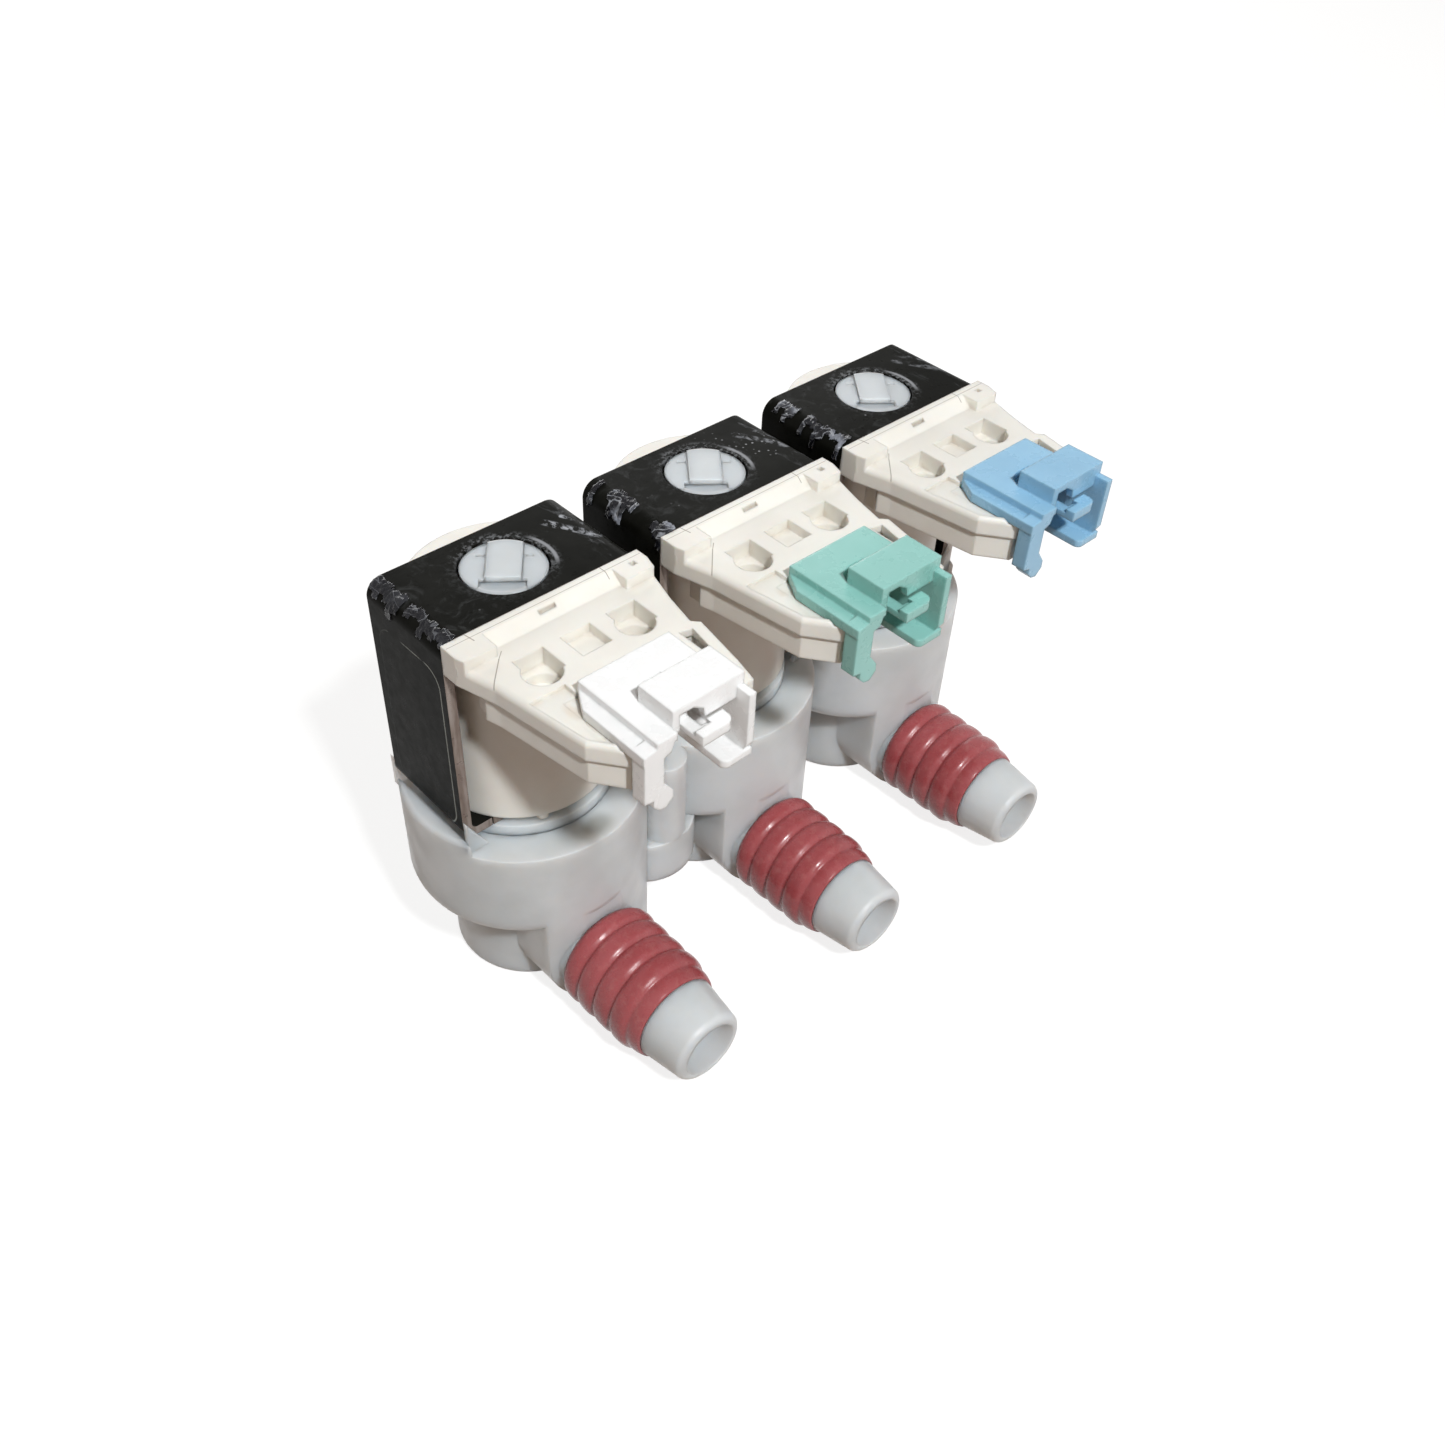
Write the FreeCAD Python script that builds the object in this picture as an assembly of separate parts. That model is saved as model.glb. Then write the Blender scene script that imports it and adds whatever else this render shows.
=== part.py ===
import FreeCAD, Part

import math
import os

from FreeCAD import Vector

# Triple water inlet valve of a washing machine: three solenoid valves on one moulded body.
# Millimetres. X runs along the row, the outlets point to -Y, the inlet to +Y and Z is up.
# The origin is on the base plane, under the axis of the middle valve.

# Fits
play = 0.05               # between pieces that are pushed together or lie on each other
over = 1.0                # how far a cutting shape runs past the face that it cuts

# Row of valves
valve_count = 3
yoke_width = 33.0
yoke_gap = 4.5            # free space between neighbouring yokes

# Steel yoke
yoke_height = 37.0
yoke_front = 8.7          # from the valve axis to the front edge of the strip
yoke_back = 9.1
yoke_t = 1.5
yoke_bend_r = 2.6
yoke_bend_min = 0.2       # smallest inner bend
yoke_seam = 0.2           # butt joint of the bent strip

# Core tube that guides the plunger
tube_flange_gap = 2.0     # from the rim of the flange to the side of the yoke
tube_flange_t = 2.0
tube_flange_lap = 0.9     # flange beyond the body's bore
tube_ring_t = 2.55        # wall of the ring that plugs into the body
tube_spigot_height = 3.0  # reach of that ring
tube_cavity_rise = 0.3    # cavity above the drum's top face
tube_r = 6.2
tube_hole_play = 0.3      # tube to the yoke's holes
tube_bore_r = 4.6
tube_spring_bore_r = 2.8
tube_roof_t = 4.4         # from the spring chamber to the tube's top
tube_sink = 0.15          # top of the tube below the yoke's top face
tube_bar_width = 5.8      # raised bar across the tube's top
tube_bar_angle = -39.0    # the bar points forward and to the left
tube_bar_front = 2.7      # from the axis to the bar's front end
tube_segment_drop = 1.3   # sunk fields beside and in front of the bar
tube_rim_t = 0.7
tube_slot_width = 0.6
tube_slot_length = 1.3
tube_slot_x = 3.6         # place of the two slots, seen along the bar
tube_slot_y = 3.1
tube_slot_drop = 3.1

# Moulded body
cup_r = 12.8              # lower cup under each drum
cup_height = 18.0         # from the base to the underside of the drum
cup_wall = 1.8
cup_core_depth = 12.5     # ring groove that lightens the cup from below
cup_edge = 1.2            # rounding of the cup's foot
drum_margin = 2.7         # drum beyond the yoke's side
drum_shift = 0.8          # drum centre in front of the valve axis
drum_height = 18.0
drum_edge = 3.6           # rounding of the drum's lower edge
drum_wall = 1.9
drum_core_depth = 11.0    # ring groove that lightens the drum from below
lip_height = 2.2          # raised lips beside the yoke
lip_edge = 0.8
lug_height = 6.0          # corner lugs in front of and behind the yoke
lug_width = 3.4
lug_t = 0.9
rib_t = 1.5               # ribs left standing in the ring grooves

# Water way inside the body
ledge_width = 1.6         # ledge that carries the diaphragm's bead
ledge_drop = 4.5          # ledge below the drum's top face
chamber_floor = 2.2
seat_drop = 0.5           # seat lip below the ledge
seat_bore_r = 5.0
seat_wall = 1.6
duct_r = 3.6              # cross duct from chamber to chamber
duct_wall = 2.2
duct_rise = 7.6           # cross ducts and inlet passage above the drum's underside
pillar_r = 3.6            # post in the front valley between the first two valves
pillar_y = -12.6
boss_r = 8.6              # round boss under that post
boss_y = -7.5
boss_height = 7.0         # reach of the boss below the drum's underside

# Outlets
outlet_z = 9.3            # height of the outlet axis
outlet_bore_r = 4.8
outlet_sump = 0.5         # floor of the upright well below the outlet bore
root_half = 9.3           # left side and underside of the root, from the outlet axis
root_right_z = 2.0        # underside of the root's right part, which follows the drum
root_back_y = -5.0        # back of that right part
root_reach = 19.6         # from the valve axis to the flat that the sleeve rests on
spigot_r = 6.3            # under the sleeve
tip_reach = 45.2          # from the valve axis to the end of the tip
tip_r = 7.3               # at the sleeve
tip_taper = 0.95
tip_round = 1.3
tip_length = 8.0
ring_count = 4            # rings of the ribbed sleeve
ring_pitch = 3.83
ring_r = 9.0              # crest of the first ring
ring_taper = 0.08         # loss of crest radius from ring to ring
ring_depth = 0.62
ring_land = 0.9           # flat on each crest
ring_lead = 1.5           # from the sleeve's rear end to the first crest
sleeve_rear_r = 8.1
sleeve_front_r = 7.7

# Inlet at the back
inlet_rise = 8.0          # inlet axis above the drum's underside
thread_r = 13.2           # outside of the three-quarter inch pipe thread
thread_length = 15.0
thread_lead = 1.0         # rounding of the thread's mouth
collar_length = 1.0       # collar between flange and thread
collar_step = 0.5         # collar beyond the thread
neck_r = 12.2
inlet_bore_r = 10.4
inlet_step_r = 8.6        # seat of the flow regulator
inlet_step_y = 22.5
inlet_passage_r = 5.2
flange_y = 24.0           # front face of the mounting flange
flange_t = 3.0
flange_width = 56.0
flange_height = 29.0
flange_corner = 7.0
screw_spacing = 43.0
screw_hole_r = 2.2
flange_rib_t = 2.2

# Coil
coil_side_gap = 0.7       # coil to the legs of the yoke
coil_gap = 0.1            # coil to yoke below
coil_top_gap = 0.9        # coil to yoke above
coil_wall = 1.3           # cast material below the bobbin
coil_jacket = 1.35        # cast material around it
coil_head = 1.8           # cast material above it
coil_bore_gap = 1.5       # coil's bore to the tube, room for the steel bushing
bobbin_flange_t = 1.2
bobbin_core_t = 1.2
winding_inset = 0.5       # winding below the rim of the bobbin
bushing_wall = 1.05       # steel bushing around the tube inside the coil
bushing_height = 15.0
nub_width = 1.8           # moulding nub under the coil's front edge
nub_height = 1.1
nub_inset = 1.1
nub_angle = -112.0

# Moving parts of each valve
plunger_gap = 0.2         # plunger to the tube's bore
plunger_length = 24.0
plunger_lift = 2.5
plunger_edge = 0.4
plunger_seal_r = 2.4
plunger_seal_height = 2.9
plunger_seal_proud = 1.15
spring_wire_r = 0.28
spring_coil_r = 2.1
spring_pocket_r = 2.6
spring_pocket_depth = 6.0
spring_turns = 6
diaphragm_bead_t = 1.5
diaphragm_bead_width = 2.15
diaphragm_t = 1.2
diaphragm_web_t = 0.7
diaphragm_pad_r = 7.4     # thick middle that closes the seat
diaphragm_pad_slope = 0.4
insert_disc_r = 8.0
insert_disc_t = 1.35
insert_neck_r = 3.3
insert_tail_r = 4.6
insert_tail_t = 2.2
insert_nipple_r = 1.6
insert_nipple_slope = 0.6
insert_nipple_height = 1.2
pilot_r = 0.5

# Connector cover
connector_drop = 1.7      # cover's top face below the yoke's top face
cover_height = 3.1
cover_t = 1.35
cover_wall = 1.3
cover_edge = 1.0          # rounding of the cover's left edge
ear_side = 3.0            # straight side beside the yoke
# Corners of the outline: in from the yoke's side, and ahead of its front
cover_left = [(0.0, ear_side), (1.7, 9.25), (3.9, 24.65), (7.5, 29.45)]
cover_right = [(5.2, 29.45), (4.2, 25.4), (2.5, 16.4), (3.5, 15.3), (2.3, 10.0), (0.0, 2.3)]
rim_depth = 3.3           # raised strip along the yoke
rim_flat = 1.35
rim_rise = connector_drop
ear_length = 5.6          # raised ears at the yoke's corners
ear_width = 4.6
ear_hole = 0.9            # square hole in the right ear
ear_hole_x = 14.0
ear_hole_y = -10.9
mark_x = -0.8             # short slot in the rim
mark_y = -10.7
mark_length = 2.8
mark_t = 0.5
pocket_y = -18.0
pocket_width = 4.9
pocket_spacing = 7.8
pocket_square_drop = 2.8
pocket_shallow_drop = 1.6
well_r = 2.8              # round well at the front of the outer pockets
well_y = -19.5
well_shift = -0.6
well_drop = 4.4
recess_inset = 0.7        # sunk field left of the shroud
recess_drop = 0.6
recess_front_y = -36.8
recess_back_y = -23.3
corner_drop = 2.55        # three-cornered pocket right of the shroud
corner_line = [(10.2, -24.9), (12.2, -25.4), (11.3, -30.2), (10.2, -30.0)]

# Connector tray
tray_height = 4.2
tray_wall = 1.3
tray_floor = 1.2
tray_inset = 0.5
tray_rear_half = 10.5     # wall against the coil
post_width = 3.3          # winding posts under the cover
post_t = 2.2
post_x = 12.0
post_y = -13.2
post_length = 5.2
bay_gap = 0.15            # shroud to the bay that holds it
bay_back_y = -25.6
terminal_spacing = 5.0
terminal_t = 0.8
terminal_height = 2.4
terminal_back_y = -17.6
terminal_front_y = -34.5
terminal_drop = 5.85      # middle of the terminals below the yoke's top face

# Coloured plug shroud
shroud_width = 15.2
shroud_back_y = -25.8
shroud_front_y = -41.1    # front of the left part
shroud_rise = 0.4         # shroud's top plate above the yoke's top face
shroud_t = 1.2
wall_height = 7.7
strip_width = 2.1         # lower strip along the left side
strip_t = 1.5
strip_drop = 1.15         # strip below the plate
strip_slant = 3.6
roof_left_x = -4.3
roof_back_y = -33.6
roof_front_y = -40.1
roof_rise = 2.6
mouth_left = -3.1         # mouth in the apron under the roof
mouth_middle = -0.9
mouth_right = 0.8
mouth_step = 1.5
mouth_slope = 0.5
# Window in the plate behind the roof
window_line = [(-4.2, roof_back_y), (-3.2, -31.8), (-1.3, -31.1), (1.5, -31.1), (1.5, roof_back_y)]
arm_depth = 2.35
# Arm and barb: in from the arm's left side, and below the shroud's top
arm_line = [(0.1, 1.2), (0.1, 9.2), (1.6, 9.5), (1.6, 10.6), (2.5, 11.6), (3.7, 11.9), (4.9, 10.7),
            (4.8, 9.4), (3.2, 7.2), (3.2, 3.0), (4.5, 2.6), (5.1, 0.8), (2.3, 0.8)]
cheek_front_y = -42.4
cheek_back_y = -39.0      # the raised part of the cheek ends here
cheek_rise = 0.6
cheek_edge = 1.2
floor_drop = 10.2         # underside of the floor below the shroud's top
floor_width = 4.8
floor_setback = 0.2
floor_edge = 1.0
tongue_left = -1.5
tongue_width = 5.4
tongue_depth = 2.4
tongue_stem = 1.8
tongue_t = 1.6
tongue_drop = 0.3         # tongue below the underside of the plate
tongue_front_y = -42.6
tongue_round = 1.3

# Filter and flow regulator in the inlet
filter_rim_gap = 0.2
filter_cage_r = 8.2
filter_depth = 13.0
filter_wall = 1.0
filter_sink = 0.6         # filter below the inlet's mouth
filter_bars = 8
filter_slot = 4.0
filter_knob_r = 1.6
filter_knob_sink = 2.0
regulator_gap = 0.2
regulator_t = 3.2
regulator_bore_r = 2.2

# Sizes that follow from the ones above
half_yoke = yoke_width / 2
valve_pitch = yoke_width + yoke_gap
drum_r = half_yoke + drum_margin
tube_flange_r = half_yoke - tube_flange_gap
body_bore_r = tube_flange_r - tube_flange_lap
chamber_r = body_bore_r - ledge_width
tube_cavity_r = body_bore_r - play - tube_ring_t
yoke_hole_r = tube_r + tube_hole_play
coil_r = half_yoke - yoke_t - coil_side_gap
coil_bore_r = tube_r + coil_bore_gap
bobbin_flange_r = coil_r - coil_jacket - play
winding_r = bobbin_flange_r - winding_inset
plunger_r = tube_bore_r - plunger_gap
drum_top = cup_height + drum_height
yoke_bottom = drum_top + tube_flange_t
yoke_top = yoke_bottom + yoke_height
coil_bottom = yoke_bottom + yoke_t + coil_gap
coil_top = yoke_top - yoke_t - coil_top_gap
ledge_z = drum_top - ledge_drop
seat_z = ledge_z - seat_drop
duct_z = cup_height + duct_rise
inlet_z = cup_height + inlet_rise
thread_y = flange_y + flange_t + collar_length
inlet_end = thread_y + thread_length
cover_top = yoke_top - connector_drop
cover_bottom = cover_top - cover_height
cover_back = -yoke_front - play
shroud_half = shroud_width / 2
bay_half = shroud_half + bay_gap
shroud_top = yoke_top + shroud_rise
shroud_under = shroud_top - shroud_t
roof_top = shroud_top + roof_rise
strip_low = shroud_top - strip_drop - strip_t
floor_low = shroud_top - floor_drop
tongue_top = shroud_under - tongue_drop
terminal_z = yoke_top - terminal_drop
filter_mouth_r = inlet_bore_r - filter_rim_gap
regulator_r = inlet_step_r - regulator_gap
insert_top = seat_z + diaphragm_t + play + insert_disc_t + insert_nipple_height
plunger_bottom = insert_top + play + plunger_seal_proud
plunger_top = plunger_bottom + plunger_length
plunger_stop = plunger_top + plunger_lift + play
row_x = [valve_pitch * (i - (valve_count - 1) / 2) for i in range(valve_count)]


def box(x0, x1, y0, y1, z0, z1):
    """Block between two corners."""
    return Part.makeBox(x1 - x0, y1 - y0, z1 - z0, Vector(x0, y0, z0))


def post(r, z0, z1, x=0.0, y=0.0):
    """Upright cylinder."""
    return Part.makeCylinder(r, z1 - z0, Vector(x, y, z0))


def bar_y(r, y0, y1, x=0.0, z=0.0):
    """Cylinder that lies along Y."""
    return Part.makeCylinder(r, y1 - y0, Vector(x, y0, z), Vector(0, 1, 0))


def bar_x(r, x0, x1, y=0.0, z=0.0):
    """Cylinder that lies along X."""
    return Part.makeCylinder(r, x1 - x0, Vector(x0, y, z), Vector(1, 0, 0))


def ring(r_out, r_in, z0, z1):
    """Upright tube."""
    return post(r_out, z0, z1).cut(post(r_in, z0, z1))


def plate(points, z0, z1):
    """Upright prism over a closed outline of (x, y) points."""
    corners = [Vector(x, y, z0) for x, y in points]
    wire = Part.makePolygon(corners + corners[:1])
    return Part.Face(wire).extrude(Vector(0, 0, z1 - z0))


def slab_x(points, x0, x1):
    """Prism along X over a closed outline of (y, z) points."""
    corners = [Vector(x0, y, z) for y, z in points]
    wire = Part.makePolygon(corners + corners[:1])
    return Part.Face(wire).extrude(Vector(x1 - x0, 0, 0))


def slab_y(points, y0, y1):
    """Prism along Y over a closed outline of (x, z) points."""
    corners = [Vector(x, y0, z) for x, z in points]
    wire = Part.makePolygon(corners + corners[:1])
    return Part.Face(wire).extrude(Vector(0, y1 - y0, 0))


def turned(points, axis=Vector(0, 0, 1)):
    """Solid of revolution. Points are (radius, height) along the given axis."""
    side = Vector(1, 0, 0)
    corners = [side * r + axis * h for r, h in points]
    wire = Part.makePolygon(corners + corners[:1])
    return Part.Face(wire).revolve(Vector(0, 0, 0), axis, 360)


def fuse(shapes):
    """One solid out of several that meet."""
    return shapes[0].multiFuse(shapes[1:]).removeSplitter()


def rounded(shape, r, keep):
    """Fillet the edges that keep(edge) picks."""
    edges = [e for e in shape.Edges if keep(e)]
    return shape.makeFillet(r, edges) if edges else shape


def is_circle(edge, r, z):
    """True for a full round edge of radius r at height z."""
    curve = edge.Curve
    return isinstance(curve, Part.Circle) and abs(curve.Radius - r) < 1e-3 and abs(curve.Center.z - z) < 1e-3


def moved(shape, x):
    """Copy of a shape at another place along the row."""
    copy = shape.copy()
    copy.translate(Vector(x, 0, 0))
    return copy


def single(shape):
    """The one solid that a boolean result holds."""
    return shape.Solids[0] if len(shape.Solids) == 1 else shape


# Moulded body

def drum_outside():
    """Drum with its two lips, before anything is cut."""
    top = drum_top + lip_height
    drum = post(drum_r, cup_height, top, 0, -drum_shift)
    drum = rounded(drum, drum_edge, lambda e: is_circle(e, drum_r, cup_height))
    drum = rounded(drum, lip_edge, lambda e: is_circle(e, drum_r, top))
    half = half_yoke + 2 * play
    reach = 2 * drum_r
    return drum.cut(box(-half, half, -reach, reach, drum_top, top + over))


def cup_outside():
    """Cup with a rounded foot."""
    cup = post(cup_r, 0, cup_height + drum_edge)
    return rounded(cup, cup_edge, lambda e: is_circle(e, cup_r, 0))


def outlet_root():
    """Root of the outlet: straight on the left, round below, and in line with the drum on the right."""
    reach = 2 * drum_r
    top = cup_height + drum_edge
    left = box(-root_half, 0, -reach, 0, outlet_z, top)
    low = bar_y(root_half, -reach, 0, 0, outlet_z)
    right = box(0, reach, -reach, root_back_y, root_right_z, top)
    root = fuse([left, low, right]).common(post(drum_r, 0, top, 0, -drum_shift))
    root = root.cut(box(-root_half, root_half, -reach, -root_reach, -over, top + over))
    return root.fuse(bar_y(sleeve_rear_r, -root_reach, 0, 0, outlet_z))


def outlet_spigot():
    """Spigot under the sleeve, with the tapered and rounded tip in front of it."""
    shoulder = tip_reach - tip_length
    end_r = tip_r - tip_taper
    bulge = tip_round * (1 - math.sqrt(0.5))
    start = Vector(end_r, 0, tip_reach - tip_round)
    middle = Vector(end_r - bulge, 0, tip_reach - bulge)
    stop = Vector(end_r - tip_round, 0, tip_reach)
    line = [Vector(0, 0, 0), Vector(spigot_r, 0, 0), Vector(spigot_r, 0, shoulder)]
    line += [Vector(tip_r, 0, shoulder), start]
    edges = [Part.makeLine(a, b) for a, b in zip(line, line[1:])]
    edges.append(Part.Arc(start, middle, stop).toShape())
    edges.append(Part.makeLine(stop, Vector(0, 0, tip_reach)))
    edges.append(Part.makeLine(Vector(0, 0, tip_reach), Vector(0, 0, 0)))
    spigot = Part.Face(Part.Wire(edges)).revolve(Vector(0, 0, 0), Vector(0, 0, 1), 360)
    spigot.rotate(Vector(0, 0, 0), Vector(1, 0, 0), 90)
    spigot.translate(Vector(0, 0, outlet_z))
    return spigot


def corner_lugs():
    """Four low lugs that stand against the yoke's front and back edges."""
    foot = half_yoke - lug_width
    outline = [(foot, drum_top), (half_yoke, drum_top), (half_yoke, drum_top + lug_height)]
    mirror = [(-x, z) for x, z in outline]
    front = -(yoke_front + play)
    back = yoke_back + play
    lugs = []
    for points in (outline, mirror):
        lugs.append(slab_y(points, front - lug_t, front))
        lugs.append(slab_y(points, back, back + lug_t))
    return lugs


def valve_inside():
    """Chamber, ledge, seat bore and outlet bore that are cut out of each valve."""
    floor = cup_height + chamber_floor
    chamber = ring(chamber_r, seat_bore_r + seat_wall, floor, ledge_z + over)
    above_seat = post(chamber_r, seat_z, ledge_z + over)
    top = post(body_bore_r, ledge_z, drum_top + over)
    well = post(seat_bore_r, outlet_z - outlet_bore_r - outlet_sump, drum_top)
    outlet = bar_y(outlet_bore_r, -tip_reach - over, 0, 0, outlet_z)
    return [chamber, above_seat, top, well, outlet]


def cup_grooves():
    """Ring groove under the cup, with the outlet's root and a rib left standing."""
    inner = seat_bore_r + seat_wall
    reach = 2 * cup_r
    top = cup_core_depth + over
    groove = ring(cup_r - cup_wall, inner, -over, cup_core_depth)
    groove = groove.cut(box(-root_half, reach, -reach, 0, -2 * over, top))
    return groove.cut(box(-rib_t / 2, rib_t / 2, 0, reach, -2 * over, top))


def drum_groove(open_back):
    """Ring groove under the drum, closed where ducts, outlet and inlet pass."""
    low = cup_height - 2 * over
    top = cup_height + drum_core_depth
    outer = post(drum_r - drum_wall, cup_height - over, top, 0, -drum_shift)
    groove = outer.cut(post(chamber_r + drum_wall, low, top + over))
    duct_half = duct_r + duct_wall
    reach = 2 * drum_r
    groove = groove.cut(box(-reach, reach, -duct_half, duct_half, low, top + over))
    groove = groove.cut(box(-root_half - rib_t, reach, -reach, 0, low, top + over))
    back_half = inlet_passage_r + duct_wall if open_back else rib_t / 2
    return groove.cut(box(-back_half, back_half, 0, reach, low, top + over))


def bridge(x_left, x_right):
    """Block between two drums that holds the cross duct."""
    half = duct_r + duct_wall
    return box(x_left, x_right, -half, half, cup_height + drum_edge, drum_top)


def front_pillar(x):
    """Post and round boss in the front valley between two valves."""
    pillar = post(pillar_r, cup_height + rib_t, drum_top, x, pillar_y)
    boss = post(boss_r, cup_height - boss_height, cup_height + rib_t, x, boss_y)
    return [pillar, boss]


def flange_outline():
    """Mounting flange with two screw ears."""
    half_w = flange_width / 2
    half_h = flange_height / 2
    flange = box(-half_w, half_w, flange_y, flange_y + flange_t, inlet_z - half_h, inlet_z + half_h)
    edges = [e for e in flange.Edges if abs(e.tangentAt(e.FirstParameter).y) > 0.99]
    return flange.makeFillet(flange_corner, edges)


def inlet_outside():
    """Neck, flange, stiffening ribs, collar and threaded spigot of the inlet."""
    front = flange_y + flange_t
    neck = bar_y(neck_r, body_bore_r + ledge_width, flange_y, 0, inlet_z)
    collar = bar_y(thread_r + collar_step, front, thread_y, 0, inlet_z)
    thread = bar_y(thread_r, front, inlet_end, 0, inlet_z)
    thread = rounded(thread, thread_lead, lambda e: e.Length > thread_r and abs(e.CenterOfMass.y - inlet_end) < 1e-3)
    solids = [neck, collar, thread, flange_outline()]
    rib_in = thread_r / 2
    rib_out = flange_width / 2 - flange_corner
    half = flange_rib_t / 2
    for side in (-1, 1):
        outline = [(side * rib_in, drum_r / 2), (side * rib_in, flange_y), (side * rib_out, flange_y)]
        solids.append(plate(outline, inlet_z - half, inlet_z + half))
    return solids


def inlet_inside():
    """Stepped bore of the inlet, down to the ring chamber of the middle valve."""
    mouth = bar_y(inlet_bore_r, inlet_step_y + regulator_t, inlet_end + over, 0, inlet_z)
    seat = bar_y(inlet_step_r, inlet_step_y, inlet_end, 0, inlet_z)
    passage = bar_y(inlet_passage_r, chamber_r - over, inlet_end, 0, duct_z)
    return [mouth, seat, passage]


def screw_holes():
    """Two holes through the flange, in line along X."""
    half = screw_spacing / 2
    back = flange_y + flange_t + over
    return [bar_y(screw_hole_r, flange_y - over, back, x, inlet_z) for x in (-half, half)]


def valve_body():
    """The whole moulding: drums, cups, outlets, bridges, inlet and flange."""
    one = fuse([drum_outside(), cup_outside(), outlet_root(), outlet_spigot()])
    solids = [moved(one, x) for x in row_x]
    for x in row_x:
        solids += [moved(lug, x) for lug in corner_lugs()]
    for left, right in zip(row_x, row_x[1:]):
        solids.append(bridge(left + body_bore_r, right - body_bore_r))
    middle = (row_x[0] + row_x[1]) / 2
    solids += front_pillar(middle)
    solids += inlet_outside()
    body = fuse(solids)
    inside = [moved(cut, x) for cut in valve_inside() for x in row_x]
    inside += [moved(cup_grooves(), x) for x in row_x]
    inside += [moved(drum_groove(abs(x) < 1e-6), x) for x in row_x]
    for left, right in zip(row_x, row_x[1:]):
        inside.append(bar_x(duct_r, left + chamber_r - 1, right - chamber_r + 1, 0, duct_z))
    inside += inlet_inside() + screw_holes()
    for cut in inside:
        body = body.cut(cut)
    return single(body)


# Solenoid

def yoke():
    """Steel strip bent into a closed loop, open to the front and the back."""
    outer = box(-half_yoke, half_yoke, -yoke_front, yoke_back, yoke_bottom, yoke_top)
    along = [e for e in outer.Edges if abs(e.tangentAt(e.FirstParameter).y) > 0.99]
    outer = outer.makeFillet(yoke_bend_r, along)
    front = -yoke_front - over
    back = yoke_back + over
    inner = box(-half_yoke + yoke_t, half_yoke - yoke_t, front, back, yoke_bottom + yoke_t, yoke_top - yoke_t)
    along = [e for e in inner.Edges if abs(e.tangentAt(e.FirstParameter).y) > 0.99]
    inner = inner.makeFillet(max(yoke_bend_r - yoke_t, yoke_bend_min), along)
    hole = post(yoke_hole_r, yoke_bottom - over, yoke_top + over)
    seam_x = -(half_yoke + yoke_hole_r) / 2
    seam = box(seam_x, seam_x + yoke_seam, front, back, yoke_bottom - over, yoke_bottom + 2 * yoke_t)
    return outer.cut(inner).cut(hole).cut(seam)


def coil_shell():
    """Cast plastic jacket of the coil, stepped down in front for the connector cover."""
    shell = post(coil_r, coil_bottom, coil_top)
    step_z = cover_top - cover_t - play
    reach = 2 * coil_r
    shell = shell.cut(box(-reach, reach, -reach, cover_back, step_z, coil_top + over))
    cavity = post(bobbin_flange_r + play, coil_bottom + coil_wall, coil_top - coil_head)
    angle = math.radians(nub_angle)
    out = coil_r - nub_inset
    nub = post(nub_width / 2, coil_bottom - nub_height, coil_bottom + nub_width,
               out * math.cos(angle), out * math.sin(angle))
    shell = shell.fuse(nub).cut(cavity)
    return shell.cut(post(coil_bore_r, coil_bottom - over, coil_top + over))


def coil_bobbin():
    """Flanged former inside the jacket."""
    z0 = coil_bottom + coil_wall + play
    z1 = coil_top - coil_head - play
    core = coil_bore_r + bobbin_core_t
    points = [(coil_bore_r, z0), (bobbin_flange_r, z0), (bobbin_flange_r, z0 + bobbin_flange_t),
              (core, z0 + bobbin_flange_t), (core, z1 - bobbin_flange_t),
              (bobbin_flange_r, z1 - bobbin_flange_t), (bobbin_flange_r, z1), (coil_bore_r, z1)]
    return turned(points)


def coil_winding():
    """Enamelled copper wire, wound between the bobbin's flanges."""
    z0 = coil_bottom + coil_wall + bobbin_flange_t + 2 * play
    z1 = coil_top - coil_head - bobbin_flange_t - 2 * play
    return ring(winding_r, coil_bore_r + bobbin_core_t + play, z0, z1)


def pole_bushing():
    """Steel bushing that carries the flux from the yoke's lower leg to the plunger."""
    inner = tube_r + play
    return ring(inner + bushing_wall, inner, yoke_bottom + yoke_t, yoke_bottom + yoke_t + bushing_height)


# Core tube and moving parts

def core_tube():
    """Plunger guide: ring that plugs into the body, flange, tube and notched top."""
    top = yoke_top - tube_sink
    low = drum_top - tube_spigot_height
    tube = fuse([post(body_bore_r - play, low, drum_top), post(tube_flange_r, drum_top, yoke_bottom),
                 post(tube_r, yoke_bottom, top)])
    tube = tube.cut(post(tube_cavity_r, low - over, drum_top + tube_cavity_rise))
    tube = tube.cut(post(tube_bore_r, drum_top - over, plunger_stop))
    tube = tube.cut(post(tube_spring_bore_r, plunger_stop - over, top - tube_roof_t))
    return tube.cut(tube_top_sink(top))


def tube_top_sink(top):
    """Sunk fields beside and in front of the bar on the tube's top, with two slots in them."""
    half = tube_bar_width / 2
    bar = box(-half, half, -tube_bar_front, 2 * tube_r, 0, top + 2 * over)
    sink = post(tube_r - tube_rim_t, top - tube_segment_drop, top + over).cut(bar)
    for side in (-1, 1):
        x0 = side * tube_slot_x - tube_slot_width / 2
        y0 = tube_slot_y - tube_slot_length / 2
        slot = box(x0, x0 + tube_slot_width, y0, y0 + tube_slot_length, top - tube_slot_drop, top)
        sink = sink.fuse(slot)
    sink.rotate(Vector(0, 0, 0), Vector(0, 0, 1), tube_bar_angle)
    return sink


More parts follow.
